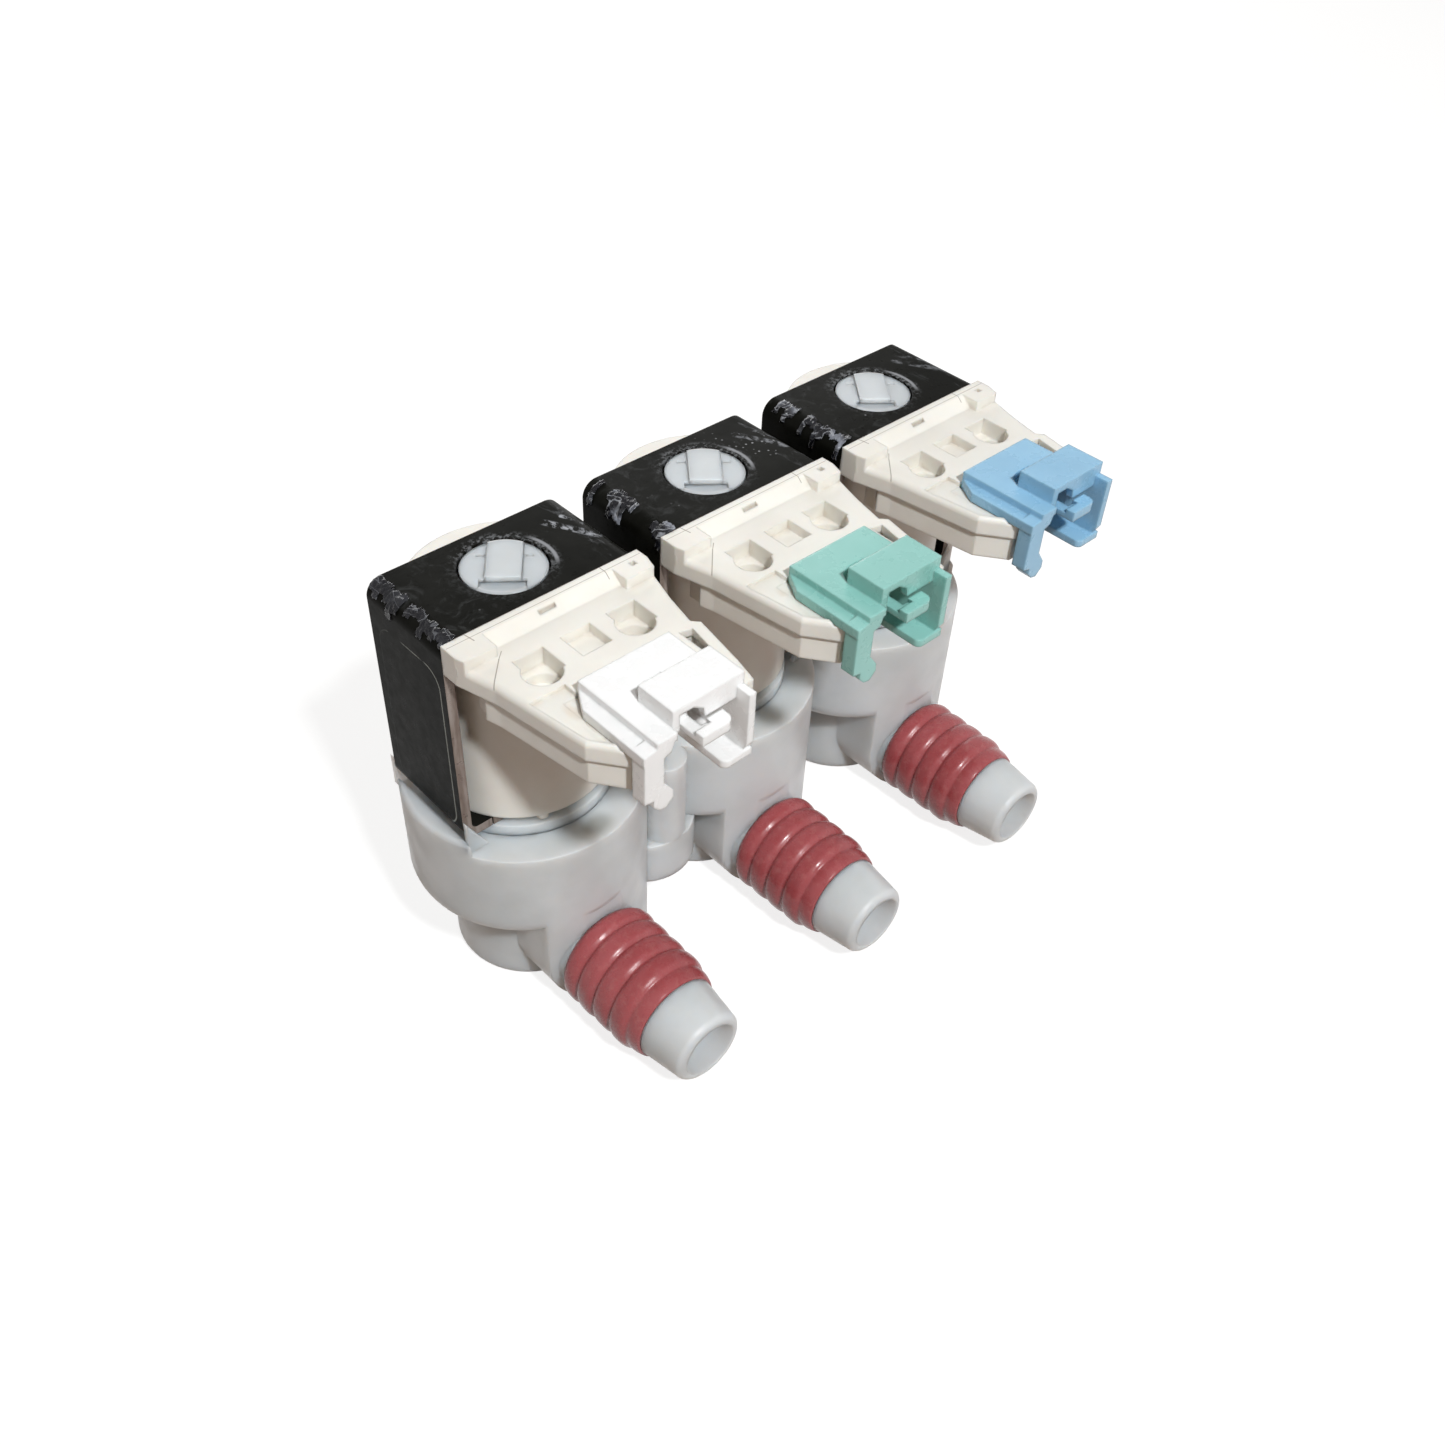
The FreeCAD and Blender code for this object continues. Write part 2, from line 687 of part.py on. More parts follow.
def plunger():
    """Steel plunger with a pocket for the spring and one for the seal."""
    body = post(plunger_r, plunger_bottom, plunger_top)
    body = rounded(body, plunger_edge, lambda e: is_circle(e, plunger_r, plunger_top))
    body = body.cut(post(spring_pocket_r, plunger_top - spring_pocket_depth, plunger_top + over))
    seal_top = plunger_bottom + plunger_seal_height - plunger_seal_proud
    return body.cut(post(plunger_seal_r, plunger_bottom - over, seal_top))


def plunger_seal():
    """Rubber pad that closes the pilot hole."""
    low = plunger_bottom - plunger_seal_proud
    return post(plunger_seal_r, low, low + plunger_seal_height)


def plunger_spring():
    """Compression spring between the plunger and the roof of the tube."""
    low = plunger_top - spring_pocket_depth + spring_wire_r + play
    high = yoke_top - tube_sink - tube_roof_t - spring_wire_r - play
    height = high - low
    helix = Part.makeHelix(height / spring_turns, height, spring_coil_r)
    wire = Part.Wire([helix])
    start = Vector(spring_coil_r, 0, 0)
    profile = Part.Wire([Part.makeCircle(spring_wire_r, start, Vector(0, 1, 0))])
    spring = wire.makePipeShell([profile], True, True)
    spring.translate(Vector(0, 0, low))
    return spring


def diaphragm():
    """Rubber diaphragm: bead on the ledge, thin web and thick pad on the seat."""
    bead_out = body_bore_r - play
    bead_in = bead_out - diaphragm_bead_width
    bead_top = ledge_z + diaphragm_bead_t
    web_low = seat_z + (diaphragm_t - diaphragm_web_t) / 2
    web_high = web_low + diaphragm_web_t
    hole = insert_neck_r + play
    slope_r = diaphragm_pad_r + diaphragm_pad_slope
    points = [(hole, seat_z), (diaphragm_pad_r, seat_z), (slope_r, web_low), (bead_in, web_low),
              (bead_in, ledge_z), (bead_out, ledge_z), (bead_out, bead_top), (bead_in, bead_top),
              (bead_in, web_high), (slope_r, web_high), (diaphragm_pad_r, seat_z + diaphragm_t),
              (hole, seat_z + diaphragm_t)]
    return turned(points)


def diaphragm_insert():
    """Rigid insert that carries the diaphragm's middle and has the pilot hole."""
    under = seat_z - play
    above = seat_z + diaphragm_t + play
    disc_top = above + insert_disc_t
    points = [(pilot_r, under - insert_tail_t), (insert_tail_r, under - insert_tail_t),
              (insert_tail_r, under), (insert_neck_r, under), (insert_neck_r, above),
              (insert_disc_r, above), (insert_disc_r, disc_top), (insert_nipple_r + insert_nipple_slope, disc_top),
              (insert_nipple_r, insert_top), (pilot_r, insert_top)]
    return turned(points)


# Connector

def cover_outline():
    """Outline of the connector cover, from the left ear round the front to the right ear."""
    left = [(-half_yoke + step, cover_back - ahead) for step, ahead in cover_left]
    right = [(half_yoke - step, cover_back - ahead) for step, ahead in cover_right]
    return [(-half_yoke, cover_back)] + left + right + [(half_yoke, cover_back)]


def inset(points, gap):
    """The same outline, pulled in on every side."""
    wire = Part.makePolygon([Vector(x, y, 0) for x, y in points + points[:1]])
    smaller = wire.makeOffset2D(-gap, 2, False, False, True)
    if smaller.BoundBox.XLength > wire.BoundBox.XLength:
        smaller = wire.makeOffset2D(gap, 2, False, False, True)
    return Part.Wire(smaller.Edges)


def inset_prism(points, gap, z0, z1):
    """Upright prism over an outline that is pulled in."""
    face = Part.Face(inset(points, gap))
    solid = face.extrude(Vector(0, 0, z1 - z0))
    solid.translate(Vector(0, 0, z0))
    return solid


def cover_pockets():
    """Three pockets in the cover, as (outer block, hollow) pairs. The outer two have a round well."""
    pairs = []
    half = pocket_width / 2
    wall = cover_wall
    for step, has_well in ((-1, True), (0, False), (1, True)):
        x = step * pocket_spacing
        drop = pocket_square_drop if has_well else pocket_shallow_drop
        hollow = box(x - half, x + half, pocket_y - half, pocket_y + half, cover_top - drop, cover_top + over)
        low = cover_top - drop - wall
        block = box(x - half - wall, x + half + wall, pocket_y - half - wall, pocket_y + half + wall, low, cover_top)
        if has_well:
            well_x = x + well_shift
            hollow = hollow.fuse(post(well_r, cover_top - well_drop, cover_top + over, well_x, well_y))
            block = block.fuse(post(well_r + wall, cover_top - well_drop - wall, cover_top, well_x, well_y))
        pairs.append((block, hollow))
    return pairs


def bay(z0, z1):
    """Room in the front of the connector that the shroud slides into."""
    return box(-bay_half, bay_half, 2 * shroud_front_y, bay_back_y, z0, z1)


def strip_room():
    """Room in the cover for the low strip along the shroud's left side."""
    left = -shroud_half - strip_width - bay_gap
    return box(left, -bay_half + over, 2 * shroud_front_y, shroud_back_y + bay_gap,
               strip_low - bay_gap, cover_top + over)


def cover_rim():
    """Raised strip along the yoke, level with its top, that slopes down to the cover."""
    top = cover_top + rim_rise
    low = cover_top - cover_t
    profile = [(cover_back, low), (cover_back, top), (cover_back - rim_flat, top),
               (cover_back - rim_depth, cover_top), (cover_back - rim_depth, low)]
    return slab_x(profile, -half_yoke, half_yoke)


def cover_ears(outline):
    """Raised ears at the yoke's two front corners, inside the cover's outline."""
    top = cover_top + rim_rise
    inside = plate(outline, cover_bottom, top)
    back = box(-half_yoke, half_yoke, cover_back - ear_width, cover_back, cover_top - cover_t, top)
    between = half_yoke - ear_length
    gap = box(-between, between, cover_back - 2 * ear_width, cover_back + over, cover_bottom, top + over)
    return back.cut(gap).common(inside)


def fine_cuts():
    """Square hole in the right ear and the short slot in the rim."""
    top = cover_top + rim_rise
    half = ear_hole / 2
    hole = box(ear_hole_x - half, ear_hole_x + half, ear_hole_y - half, ear_hole_y + half, top - cover_t, top + over)
    slot = box(mark_x - mark_length / 2, mark_x + mark_length / 2, mark_y - mark_t / 2, mark_y + mark_t / 2,
               top - cover_t, top + over)
    return [hole, slot]


def connector_cover():
    """Cover with raised rim and ears, pockets and the two winding posts."""
    outline = cover_outline()
    cover = plate(outline, cover_bottom, cover_top)
    cover = rounded(cover, cover_edge, is_cover_edge)
    cover = cover.cut(inset_prism(outline, cover_wall, cover_bottom - over, cover_top - cover_t))
    parts = [cover, cover_rim()] + cover_ears(outline).Solids
    inside = plate(outline, cover_bottom - tray_height, cover_top)
    pockets = cover_pockets()
    parts += [block.common(inside) for block, hollow in pockets]
    half = post_width / 2
    for x in (-post_x, post_x):
        parts.append(box(x - half, x + half, post_y - post_t / 2, post_y + post_t / 2,
                         cover_bottom - post_length, cover_top - cover_t))
    cover = fuse(parts)
    cuts = [hollow for block, hollow in pockets] + fine_cuts()
    cuts += [bay(cover_bottom - over, cover_top + over), strip_room(), corner_recess(), side_recess()]
    cuts.append(coil_room(cover_top - cover_t - play))
    for cut in cuts:
        cover = cover.cut(cut)
    return single(cover)


def is_cover_edge(edge):
    """True for the cover's upper outer edges on the left and in front of the right waist."""
    middle = edge.CenterOfMass
    return abs(middle.z - cover_top) < 1e-3 and middle.y < cover_back - ear_side and middle.x < 0


def corner_recess():
    """Three-cornered pocket beside the shroud on the right."""
    return plate(corner_line, cover_top - corner_drop, cover_top + over)


def side_recess():
    """Shallow sunk field beside the shroud on the left."""
    field = inset_prism(cover_outline(), recess_inset, cover_top - recess_drop, cover_top + over)
    return field.common(box(-half_yoke, -bay_half, recess_front_y, recess_back_y, cover_bottom, cover_top + over))


def coil_room(top):
    """Space of the coil, kept free by the cover and the tray."""
    return post(coil_r + play, coil_bottom, top)


def connector_tray():
    """Tray under the cover, deep at the front, with a rear wall against the coil."""
    outline = cover_outline()
    top = cover_bottom - play
    low = top - tray_height
    outer = inset_prism(outline, tray_inset, low, top)
    hollow = inset_prism(outline, tray_inset + tray_wall, low + tray_floor, top + over)
    tray = outer.cut(hollow)
    deep_back = pocket_y + pocket_width / 2
    tray = tray.cut(box(-half_yoke, half_yoke, deep_back, 0, low - over, top + over))
    rear = box(-tray_rear_half, tray_rear_half, deep_back - tray_wall, deep_back, low, top)
    tray = tray.fuse(rear)
    for block, hollow in cover_pockets():
        room = block.BoundBox
        tray = tray.cut(box(room.XMin - play, room.XMax + play, room.YMin - play, room.YMax + play,
                            room.ZMin - play, top + over))
    tray = tray.cut(bay(low - over, top + over))
    wall = box(-bay_half, bay_half, bay_back_y, bay_back_y + tray_wall, low, top)
    tray = tray.fuse(wall).removeSplitter()
    for x in (-terminal_spacing / 2, terminal_spacing / 2):
        tray = tray.cut(terminal_blade(x, play))
    return single(tray.cut(coil_room(coil_top)))


def terminal_blade(x, gap=0.0):
    """One flat terminal."""
    half_t = terminal_t / 2 + gap
    half_h = terminal_height / 2 + gap
    return box(x - half_t, x + half_t, terminal_front_y, terminal_back_y, terminal_z - half_h, terminal_z + half_h)


def terminals():
    """Pair of flat tin-plated terminals."""
    return Part.makeCompound([terminal_blade(x) for x in (-terminal_spacing / 2, terminal_spacing / 2)])


# Plug shroud

def plug_shroud():
    """Coloured shroud: plate with its side strip, latch arm, raised roof, cheek, floor and tongue."""
    wall_low = shroud_top - wall_height
    parts = [box(-shroud_half, roof_left_x, shroud_front_y, shroud_back_y, shroud_under, shroud_top),
             box(-shroud_half, shroud_half, roof_back_y, shroud_back_y, shroud_under, shroud_top),
             box(-shroud_half, -shroud_half + shroud_t, shroud_front_y, shroud_back_y, wall_low, shroud_top),
             box(-shroud_half, shroud_half, shroud_back_y - shroud_t, shroud_back_y, wall_low, shroud_top),
             box(roof_left_x, shroud_half, roof_front_y, roof_back_y, shroud_under, roof_top)]
    parts += [side_strip(), latch_arm(), cheek(), socket_floor()] + tongue()
    shroud = fuse(parts).cut(roof_room()).cut(plate(window_line, shroud_under - over, shroud_top + over))
    for x in (-terminal_spacing / 2, terminal_spacing / 2):
        shroud = shroud.cut(terminal_blade(x, play))
    return single(shroud)


def roof_room():
    """Hollow under the raised roof, and the mouth in the apron that closes its front."""
    ceiling = roof_top - shroud_t
    room = box(roof_left_x + shroud_t, shroud_half - shroud_t, roof_front_y + shroud_t, roof_back_y - shroud_t,
               tongue_top + play, ceiling)
    mouth = [(mouth_left, shroud_under - over), (mouth_left, ceiling), (mouth_middle, ceiling),
             (mouth_right, shroud_under + mouth_step), (mouth_right + mouth_slope, shroud_under - over)]
    return room.fuse(slab_y(mouth, roof_front_y - over, roof_front_y + 2 * shroud_t))


def side_strip():
    """Lower strip along the left side, cut at a slant at its back end."""
    inner = -shroud_half + shroud_t
    outer = -shroud_half - strip_width
    outline = [(inner, shroud_front_y), (inner, shroud_back_y), (-shroud_half, shroud_back_y),
               (outer, shroud_back_y - strip_slant), (outer, shroud_front_y)]
    return plate(outline, strip_low, strip_low + strip_t)


def latch_arm():
    """Arm in front of the strip that hangs down to the barb which holds the plug."""
    left = -shroud_half - strip_width
    outline = [(left + aside, shroud_top - drop) for aside, drop in arm_line]
    return slab_y(outline, shroud_front_y, shroud_front_y + arm_depth)


def cheek():
    """Right wall, drawn forward and down into a cheek."""
    low = floor_low
    outline = [(shroud_back_y, low), (cheek_front_y + cheek_edge, low), (cheek_front_y, low + 2 * cheek_edge),
               (cheek_front_y, shroud_top + cheek_rise), (cheek_back_y, shroud_top + cheek_rise),
               (cheek_back_y, shroud_top), (shroud_back_y, shroud_top)]
    return slab_x(outline, shroud_half - shroud_t, shroud_half)


def socket_floor():
    """Narrow floor on the right, with a rounded front corner."""
    left = shroud_half - floor_width
    front = cheek_front_y + floor_setback
    slab = box(left, shroud_half, front, shroud_back_y, floor_low, floor_low + shroud_t)
    return rounded(slab, floor_edge, lambda e: is_upright(e, left, front))


def tongue():
    """Tongue under the roof, and the strip that joins it to the rear wall."""
    low = tongue_top - tongue_t
    right = tongue_left + tongue_width
    across = box(tongue_left, right, tongue_front_y, tongue_front_y + tongue_depth, low, tongue_top)
    across = rounded(across, tongue_round, lambda e: is_upright(e, right, tongue_front_y))
    along = box(tongue_left, tongue_left + tongue_stem, tongue_front_y, shroud_back_y, low, tongue_top)
    return [across, along]


def is_upright(edge, x, y):
    """True for an upright edge at a place."""
    middle = edge.CenterOfMass
    return abs(middle.x - x) < 1e-3 and abs(middle.y - y) < 1e-3


# Outlet sleeve, filter and flow regulator

def sleeve_line():
    """Outside of the sleeve from its rear end to its front end, as (radius, distance) points."""
    start = root_reach + play
    line = [(sleeve_rear_r, start)]
    for i in range(ring_count):
        crest = ring_r - ring_taper * i
        middle = start + ring_lead + ring_pitch * i
        line += [(crest, middle - ring_land / 2), (crest, middle + ring_land / 2)]
        line.append((crest - ring_depth, middle + ring_pitch / 2))
    line.append((sleeve_front_r, tip_reach - tip_length - play))
    return line


def outlet_sleeve():
    """Soft ribbed sleeve that is pushed over the spigot."""
    line = sleeve_line()
    sleeve = turned([(spigot_r, line[0][1])] + line + [(spigot_r, line[-1][1])])
    sleeve.rotate(Vector(0, 0, 0), Vector(1, 0, 0), 90)
    sleeve.translate(Vector(0, 0, outlet_z))
    return sleeve


def inlet_filter():
    """Basket filter in the mouth of the inlet, with slots between its bars and a pull knob."""
    mouth = inlet_end - filter_sink
    inner_end = mouth - filter_depth
    flange = bar_y(filter_mouth_r, mouth - filter_wall, mouth, 0, inlet_z)
    cage = bar_y(filter_cage_r, inner_end, mouth, 0, inlet_z)
    basket = flange.fuse(cage)
    basket = basket.cut(bar_y(filter_cage_r - filter_wall, inner_end + filter_wall, mouth + over, 0, inlet_z))
    half = filter_slot / 2
    for i in range(filter_bars):
        window = box(-half, half, inner_end + 2 * filter_wall, mouth - 3 * filter_wall,
                     inlet_z, inlet_z + filter_cage_r + over)
        window.rotate(Vector(0, 0, inlet_z), Vector(0, 1, 0), 360.0 * i / filter_bars)
        basket = basket.cut(window)
    knob = bar_y(filter_knob_r, inner_end, mouth - filter_knob_sink, 0, inlet_z)
    return basket.fuse(knob).removeSplitter()


def flow_regulator():
    """Rubber ring that narrows under pressure and so limits the flow."""
    back = inlet_step_y + regulator_t
    disc = bar_y(regulator_r, inlet_step_y, back, 0, inlet_z)
    return disc.cut(bar_y(regulator_bore_r, inlet_step_y - over, back + over, 0, inlet_z))


def save(name, shape):
    """Write one node."""
    shape.exportStep(os.path.join("parts", name + ".step"))


os.makedirs("parts", exist_ok=True)

save("valve_body", valve_body())
save("inlet_filter", inlet_filter())
save("flow_regulator", flow_regulator())

per_valve = {
    "yoke": yoke(),
    "coil_shell": coil_shell(),
    "coil_bobbin": coil_bobbin(),
    "coil_winding": coil_winding(),
    "pole_bushing": pole_bushing(),
    "core_tube": core_tube(),
    "plunger": plunger(),
    "plunger_seal": plunger_seal(),
    "plunger_spring": plunger_spring(),
    "diaphragm": diaphragm(),
    "diaphragm_insert": diaphragm_insert(),
    "connector_tray": connector_tray(),
    "connector_cover": connector_cover(),
    "terminals": terminals(),
    "plug_shroud": plug_shroud(),
    "outlet_sleeve": outlet_sleeve(),
}
for number, x in enumerate(row_x, start=1):
    for name, shape in per_valve.items():
        save(name + "_" + str(number), moved(shape, x))
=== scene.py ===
import math

import bmesh
import bpy
from mathutils import Matrix, Vector, noise


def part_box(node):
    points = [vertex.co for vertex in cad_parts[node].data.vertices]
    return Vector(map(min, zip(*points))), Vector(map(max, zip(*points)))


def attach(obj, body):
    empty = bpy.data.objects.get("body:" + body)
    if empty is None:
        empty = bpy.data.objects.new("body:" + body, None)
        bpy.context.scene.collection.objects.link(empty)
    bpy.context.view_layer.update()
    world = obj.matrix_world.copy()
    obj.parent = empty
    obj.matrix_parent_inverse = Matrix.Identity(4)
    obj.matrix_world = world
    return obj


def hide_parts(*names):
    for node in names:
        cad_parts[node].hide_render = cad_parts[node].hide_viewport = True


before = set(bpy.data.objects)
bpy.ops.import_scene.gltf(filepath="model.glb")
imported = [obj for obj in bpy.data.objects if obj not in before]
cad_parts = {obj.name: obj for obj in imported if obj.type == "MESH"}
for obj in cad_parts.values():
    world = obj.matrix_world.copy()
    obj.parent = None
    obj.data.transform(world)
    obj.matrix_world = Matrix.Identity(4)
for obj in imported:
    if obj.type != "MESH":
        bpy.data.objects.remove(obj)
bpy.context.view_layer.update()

MM = 0.001


def mm(*values):
    """Lengths given in millimetres, in the frame's metres."""
    return tuple(value * MM for value in values)


# Camera: measured from the row of valves in the photograph
PHOTO_SIZE = 1445
CAMERA_EYE = Vector((-0.12538, -0.13306, 0.19205))
CAMERA_AZIMUTH = math.radians(-44.715)
CAMERA_ELEVATION = math.radians(42.713)
CAMERA_ROLL = math.radians(2.825)
CAMERA_FOCUS = 1410.5      # in pixels of the photograph
SENSOR = 36.0
CLIP = (0.01, 20)

# Row of valves, read from the solids
VALVES = (1, 2, 3)
ROW_X = {k: sum(c.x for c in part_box(f"coil_shell_{k}")) / 2 for k in VALVES}
COVER_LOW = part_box("connector_tray_1")[1].z
TUBE_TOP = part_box("core_tube_1")[1].z

# Light
AMBIENT_COLOUR = (1.0, 0.90, 0.82, 1)
AMBIENT_LEVEL = 0.22
# Name, direction to the lamp, distance, size, level and colour
LAMPS = (
    ("key", (-0.26, -0.80, 1.0), 0.75, 0.05, 0.90, (0.97, 0.99, 1.01)),
    ("fill", (0.9, -0.6, 0.5), 0.80, 0.60, 0.06, (1, 1, 1)),
    ("back", (0.5, 1.0, 0.3), 0.80, 0.60, 0.50, (1, 1, 1)),
)
LAMP_AIM = Vector((0, -0.01, 0.04))

# Floor
FLOOR_HALF = 3.0
FLOOR_DROP = 0.05 * MM
FLOOR_TINTS = ((0.26, 0.26, 0.255), (0.28, 0.28, 0.275))
FLOOR_GLOW = 0.82
FLOOR_BOUNCE = (0.25, 0.175, 0.13, 1)      # colour that the floor throws back on the object

ORIGIN = (0, 0, 0)
LINE_CORE = 0.4            # share of a drawn line's half width that has its full tone


# Node material helpers

class Paint:
    """One node material around a principled shader."""

    def __init__(self, name, **constant):
        self.material = bpy.data.materials.new(name)
        self.material.use_nodes = True
        self.tree = self.material.node_tree
        self.tree.nodes.clear()
        self.shader = self.tree.nodes.new("ShaderNodeBsdfPrincipled")
        self.output = self.tree.nodes.new("ShaderNodeOutputMaterial")
        self.tree.links.new(self.shader.outputs["BSDF"], self.output.inputs["Surface"])
        self.place = self.tree.nodes.new("ShaderNodeTexCoord").outputs["Object"]
        for key, value in constant.items():
            self.shader.inputs[key.replace("_", " ")].default_value = value

    def link(self, value, socket):
        """Put a number, colour or output into a socket."""
        if isinstance(value, bpy.types.NodeSocket):
            self.tree.links.new(value, socket)
        elif isinstance(value, tuple) and len(value) == 3 and len(socket.default_value) == 4:
            socket.default_value = (*value, 1.0)
        else:
            socket.default_value = value

    def set(self, name, value):
        self.link(value, self.shader.inputs[name])

    def base(self, colour):
        """Colour that the layers go on."""
        self.colour = colour
        self.set("Base Color", colour)

    def layer(self, share, strength, tint):
        """Tint laid over the colour where share is 1."""
        self.base(self.mix(self.math("MULTIPLY", share, strength), self.colour, tint))

    def stretched(self, scale, offset=ORIGIN):
        """Object coordinates, scaled and moved."""
        node = self.tree.nodes.new("ShaderNodeMapping")
        self.link(self.place, node.inputs["Vector"])
        node.inputs["Scale"].default_value = scale
        node.inputs["Location"].default_value = offset
        return node.outputs["Vector"]

    def noise(self, scale, detail=3.0, rough=0.5, place=None, distortion=0.0):
        node = self.tree.nodes.new("ShaderNodeTexNoise")
        self.link(place or self.place, node.inputs["Vector"])
        node.inputs["Scale"].default_value = scale
        node.inputs["Detail"].default_value = detail
        node.inputs["Roughness"].default_value = rough
        node.inputs["Distortion"].default_value = distortion
        return node.outputs["Fac"]

    def cells(self, scale, place=None):
        """Distance to the nearest of many scattered points."""
        node = self.tree.nodes.new("ShaderNodeTexVoronoi")
        self.link(place or self.place, node.inputs["Vector"])
        node.inputs["Scale"].default_value = scale
        return node.outputs["Distance"]

    def ramp(self, value, low, high, a=0.0, b=1.0):
        """Number from a at low to b at high."""
        node = self.tree.nodes.new("ShaderNodeMapRange")
        node.interpolation_type = "SMOOTHSTEP"
        self.link(value, node.inputs["Value"])
        for name, number in (("From Min", low), ("From Max", high), ("To Min", a), ("To Max", b)):
            node.inputs[name].default_value = number
        return node.outputs["Result"]

    def math(self, operation, a, b=0.0):
        node = self.tree.nodes.new("ShaderNodeMath")
        node.operation = operation
        self.link(a, node.inputs[0])
        self.link(b, node.inputs[1])
        return node.outputs["Value"]

    def product(self, first, *others):
        for other in others:
            first = self.math("MULTIPLY", first, other)
        return first

    def gap(self, a, b):
        """How far two numbers lie apart."""
        return self.math("ABSOLUTE", self.math("SUBTRACT", a, b))

    def length(self, a, b):
        """Length of a plane vector."""
        return self.math("SQRT", self.math("ADD", self.product(a, a), self.product(b, b)))

    def mix(self, share, a, b):
        """Colour between a and b."""
        node = self.tree.nodes.new("ShaderNodeMix")
        node.data_type = "RGBA"
        self.link(share, node.inputs["Factor"])
        self.link(a, node.inputs["A"])
        self.link(b, node.inputs["B"])
        return node.outputs["Result"]

    def clamped(self, value):
        """Number held between 0 and 1."""
        node = self.tree.nodes.new("ShaderNodeClamp")
        self.link(value, node.inputs["Value"])
        return node.outputs["Result"]

    def spot(self, a, b, middle, radii, soft=0.6):
        """1 in the middle of an oval, fading to 0 at its rim."""
        u = self.math("DIVIDE", self.math("SUBTRACT", a, middle[0]), radii[0])
        v = self.math("DIVIDE", self.math("SUBTRACT", b, middle[1]), radii[1])
        return self.ramp(self.length(u, v), 1.0, 1.0 - soft)

    def line_of(self, off, width):
        """1 where a distance is small, fading to 0 at the line's half width."""
        return self.ramp(off, width, LINE_CORE * width)

    def stroke(self, a, b, start, end, width):
        """1 along a straight line between two points."""
        du, dv = end[0] - start[0], end[1] - start[1]
        u = self.math("SUBTRACT", a, start[0])
        v = self.math("SUBTRACT", b, start[1])
        along = self.math("ADD", self.product(u, du), self.product(v, dv))
        share = self.clamped(self.math("DIVIDE", along, du * du + dv * dv))
        off_u = self.math("SUBTRACT", u, self.product(share, du))
        off_v = self.math("SUBTRACT", v, self.product(share, dv))
        return self.line_of(self.length(off_u, off_v), width)

    def round_frame(self, a, b, middle, half, corner, width):
        """1 along the border of a rectangle with round corners."""
        u = self.math("SUBTRACT", self.gap(a, middle[0]), half[0] - corner)
        v = self.math("SUBTRACT", self.gap(b, middle[1]), half[1] - corner)
        outer = self.length(self.math("MAXIMUM", u, 0.0), self.math("MAXIMUM", v, 0.0))
        inner = self.math("MINIMUM", self.math("MAXIMUM", u, v), 0.0)
        return self.line_of(self.gap(self.math("ADD", outer, inner), corner), width)

    def axis(self, name):
        """One coordinate of the object frame, in metres."""
        node = self.tree.nodes.new("ShaderNodeSeparateXYZ")
        self.link(self.place, node.inputs[0])
        return node.outputs[name]

    def recess(self, distance, samples=6):
        """1 deep in corners and hollows, 0 in the open."""
        node = self.tree.nodes.new("ShaderNodeAmbientOcclusion")
        node.samples = samples
        node.inputs["Distance"].default_value = distance
        return self.ramp(node.outputs["AO"], 0.35, 0.95, 1.0, 0.0)

    def soft_edges(self, radius, samples=4):
        """Normal that rounds the edges of the solid."""
        node = self.tree.nodes.new("ShaderNodeBevel")
        node.samples = samples
        node.inputs["Radius"].default_value = radius
        return node.outputs["Normal"]

    def bump(self, height, depth, strength=0.5, normal=None):
        node = self.tree.nodes.new("ShaderNodeBump")
        node.inputs["Strength"].default_value = strength
        node.inputs["Distance"].default_value = depth
        self.link(height, node.inputs["Height"])
        if normal is not None:
            self.link(normal, node.inputs["Normal"])
        return node.outputs["Normal"]


def moulded(name, light, dark, rough, edge=0.3, hollow_shade=(0.35, 0.26, 0.18), hollow_shade_share=0.35, **constant):
    """Injection moulded plastic: slight clouds, fine texture, rounded edges and painted shade in its
    corners.
    """
    paint = Paint(name, **constant)
    paint.base(paint.mix(paint.ramp(paint.noise(70, 4), 0.35, 0.65), dark, light))
    # Painted shade: a darker tone laid into corners and hollows by ambient occlusion, broken up by noise.
    uneven = paint.ramp(paint.noise(420, 4), 0.38, 0.62, 0.15, 1.0)
    paint.layer(paint.product(paint.recess(1.4 * MM), uneven), hollow_shade_share, hollow_shade)
    paint.set("Roughness", paint.ramp(paint.noise(260, 5, 0.6), 0.3, 0.7, rough - 0.06, rough + 0.08))
    fine = paint.bump(paint.noise(2600, 3), 0.03 * MM, 0.35, paint.soft_edges(edge * MM))
    paint.set("Normal", paint.bump(paint.noise(180, 2), 0.12 * MM, 0.25, fine))
    return paint


# Nylon of the body and the core tubes

COIL_SHADOW_MIDDLE = mm(1.6, -17.2)      # from the first valve's axis
COIL_SHADOW_RADII = mm(3.4, 3.0)
COIL_SHADOW_HEIGHT = mm(33.0, 36.0)      # where it begins and is full


def nylon(name):
    """Milky translucent nylon."""
    # The brown tint and its share after the edge radius are painted shade in the hollows.
    return moulded(name, (0.66, 0.69, 0.70), (0.58, 0.61, 0.615), 0.34, 0.45, (0.30, 0.22, 0.17), 0.22,
                   Subsurface_Weight=1.0, Subsurface_Scale=6.0 * MM, Subsurface_Radius=(1.0, 0.86, 0.76),
                   IOR=1.5, Specular_IOR_Level=0.5)


def body_nylon():
    """Nylon with the painted shadow of the first coil, a dark patch on the body just in front of that coil.
    """
    paint = nylon("body_nylon")
    x = paint.math("SUBTRACT", paint.axis("X"), ROW_X[1])
    # Painted shadow of the first coil: an oval on the body, full from a height up.
    high = paint.ramp(paint.axis("Z"), *COIL_SHADOW_HEIGHT)
    coil_shadow = paint.spot(x, paint.axis("Y"), COIL_SHADOW_MIDDLE, COIL_SHADOW_RADII, 0.8)
    paint.layer(paint.product(coil_shadow, high), 0.6, (0.30, 0.31, 0.285))
    return paint.material


# Yokes

